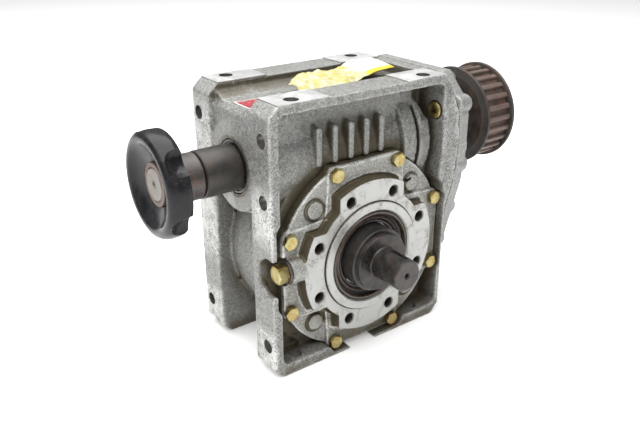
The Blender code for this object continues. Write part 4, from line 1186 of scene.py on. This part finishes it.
def build_label():
    """A crumpled strip between its two long edges, with a flat end."""
    near = [
        (-38, -20, 198.5), (-26, -24, 199.2), (-4, -21, 200.5), (18, -15, 203.0), (36, -11, 205.3),
        (56, -8, 205.2),
    ]
    far = [(-36, 3, 203.2), (-22, 11, 206.2), (-2, 13, 206.6), (15, 13, 205.2), (34, 23, 206.8), (60, 26, 206.6)]
    across, along, flat_from = 26, 90, 0.62
    rows, values = [], {"along": [], "across": []}
    for i in range(along + 1):
        u = i / along
        a, b = spline(near, u), spline(far, u)
        crumple = 1.0 if u < flat_from else max(0.12, 1 - (u - flat_from) / 0.1)
        row = []
        for j in range(across + 1):
            v = j / across
            wave = noise.noise(Vector((u * 9.0, v * 3.2, 1.7))) * 2.2
            wave += noise.noise(Vector((u * 24.0, v * 8.0, 5.1))) * 0.9
            arch = math.sin(math.pi * v) * (2.4 * (1 - u) + 0.4)
            row.append(a.lerp(b, v) + Vector((0, 0, wave * crumple + arch)))
            values["along"].append(u)
            values["across"].append(v)
        rows.append(row)
    return skin(rows, 0.35, values)


piece(build_label(), "paper_label_shape", "gearcase", [PAPER], ["paper_label"], 0)


def build_sticker():
    """A thin foil on the deck, with slightly lifted corners."""
    low, high, count = Vector((-79.8, -21.0)), Vector((-50.0, 5.8)), 24
    rows, rim = [], []
    for i in range(count + 1):
        row = []
        for j in range(count + 1):
            u, v = i / count, j / count
            lift = 0.35 * (abs(2 * u - 1) * abs(2 * v - 1)) ** 3
            lift += 0.12 * noise.noise(Vector((u * 5, v * 5, 3)))
            x, y = low.x + (high.x - low.x) * u, low.y + (high.y - low.y) * v
            row.append((x, y, DECK + 0.25 + abs(lift)))
            rim.append(min(u, 1 - u, v, 1 - v))
        rows.append(row)
    return skin(rows, 0.15, {"rim": rim})


piece(build_sticker(), "deck_sticker", "gearcase", [STICKER], (), 0)


# Carried CAD nodes --------------------------------------------------------------------------------

for node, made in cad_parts.items():
    if made.hide_render:
        continue
    finish = GREY_STEEL
    for word, look in (("bearing", BEARING), ("wheel_rim", BRONZE), ("seal", RUBBER)):
        if word in node:
            finish = look
    give(made.data, [finish])


# Stage --------------------------------------------------------------------------------------------


def stage():
    bm = bmesh.new()
    bmesh.ops.create_grid(bm, x_segments=1, y_segments=1, size=4.0)
    mesh = bpy.data.meshes.new("floor")
    bm.to_mesh(mesh)
    bm.free()
    floor = bpy.data.objects.new("floor", mesh)
    bpy.context.scene.collection.objects.link(floor)
    pale = bpy.data.materials.new("pale_floor")
    pale.use_nodes = True
    sockets = pale.node_tree.nodes["Principled BSDF"].inputs
    sockets["Base Color"].default_value = (0.92, 0.92, 0.92, 1)
    sockets["Roughness"].default_value = 0.9
    sockets["Emission Color"].default_value = (1, 1, 1, 1)
    sockets["Emission Strength"].default_value = 0.16
    mesh.materials.append(pale)
    floor.location.z = -0.0004


def softbox(name, place, target, size, power):
    data = bpy.data.lights.new(name, "AREA")
    data.shape = "RECTANGLE"
    data.size, data.size_y = size
    data.energy = power
    made = bpy.data.objects.new(name, data)
    bpy.context.scene.collection.objects.link(made)
    made.location = place
    made.rotation_euler = (Vector(target) - Vector(place)).to_track_quat("-Z", "Y").to_euler()


def sky():
    """A white studio: bright above, a little darker towards the horizon."""
    world = bpy.data.worlds.new("studio")
    bpy.context.scene.world = world
    world.use_nodes = True
    tree = world.node_tree
    shade = tree.nodes["Background"]
    direction = tree.nodes.new("ShaderNodeTexCoord").outputs["Generated"]
    height = tree.nodes.new("ShaderNodeSeparateXYZ")
    ramp = tree.nodes.new("ShaderNodeValToRGB")
    tree.links.new(direction, height.inputs[0])
    tree.links.new(height.outputs["Z"], ramp.inputs["Fac"])
    tree.links.new(ramp.outputs["Color"], shade.inputs["Color"])
    ramp.color_ramp.elements[0].position = 0.0
    ramp.color_ramp.elements[0].color = (0.40, 0.40, 0.41, 1)
    ramp.color_ramp.elements[1].position = 0.75
    ramp.color_ramp.elements[1].color = (1.0, 1.0, 1.0, 1)
    shade.inputs["Strength"].default_value = 0.5


def camera():
    data = bpy.data.cameras.new("camera")
    data.lens = 40.0
    data.sensor_width = 36.0
    data.clip_start = 0.01
    made = bpy.data.objects.new("camera", data)
    bpy.context.scene.collection.objects.link(made)
    forward = Vector((0.5411, 0.7351, -0.4084)).normalized()
    right = forward.cross(Vector((0, 0, 1))).normalized()
    up = right.cross(forward)
    matrix = Matrix((right, up, -forward)).transposed().to_4x4()
    matrix.translation = Vector((-0.32305, -0.40505, 0.3262))
    made.matrix_world = matrix
    bpy.context.scene.camera = made


stage()
sky()
softbox("top_light", (-0.25, 0.1, 1.45), (0, 0, 0.1), (2.4, 2.2), 62)
softbox("left_light", (-1.4, -0.4, 0.8), (0, 0, 0.1), (1.0, 1.0), 1.8)
softbox("front_light", (-0.4, -1.7, 0.7), (0, 0, 0.1), (1.2, 1.0), 1.4)
camera()
bpy.context.scene.view_settings.view_transform = "Standard"
bpy.data.collections.remove(WORK)
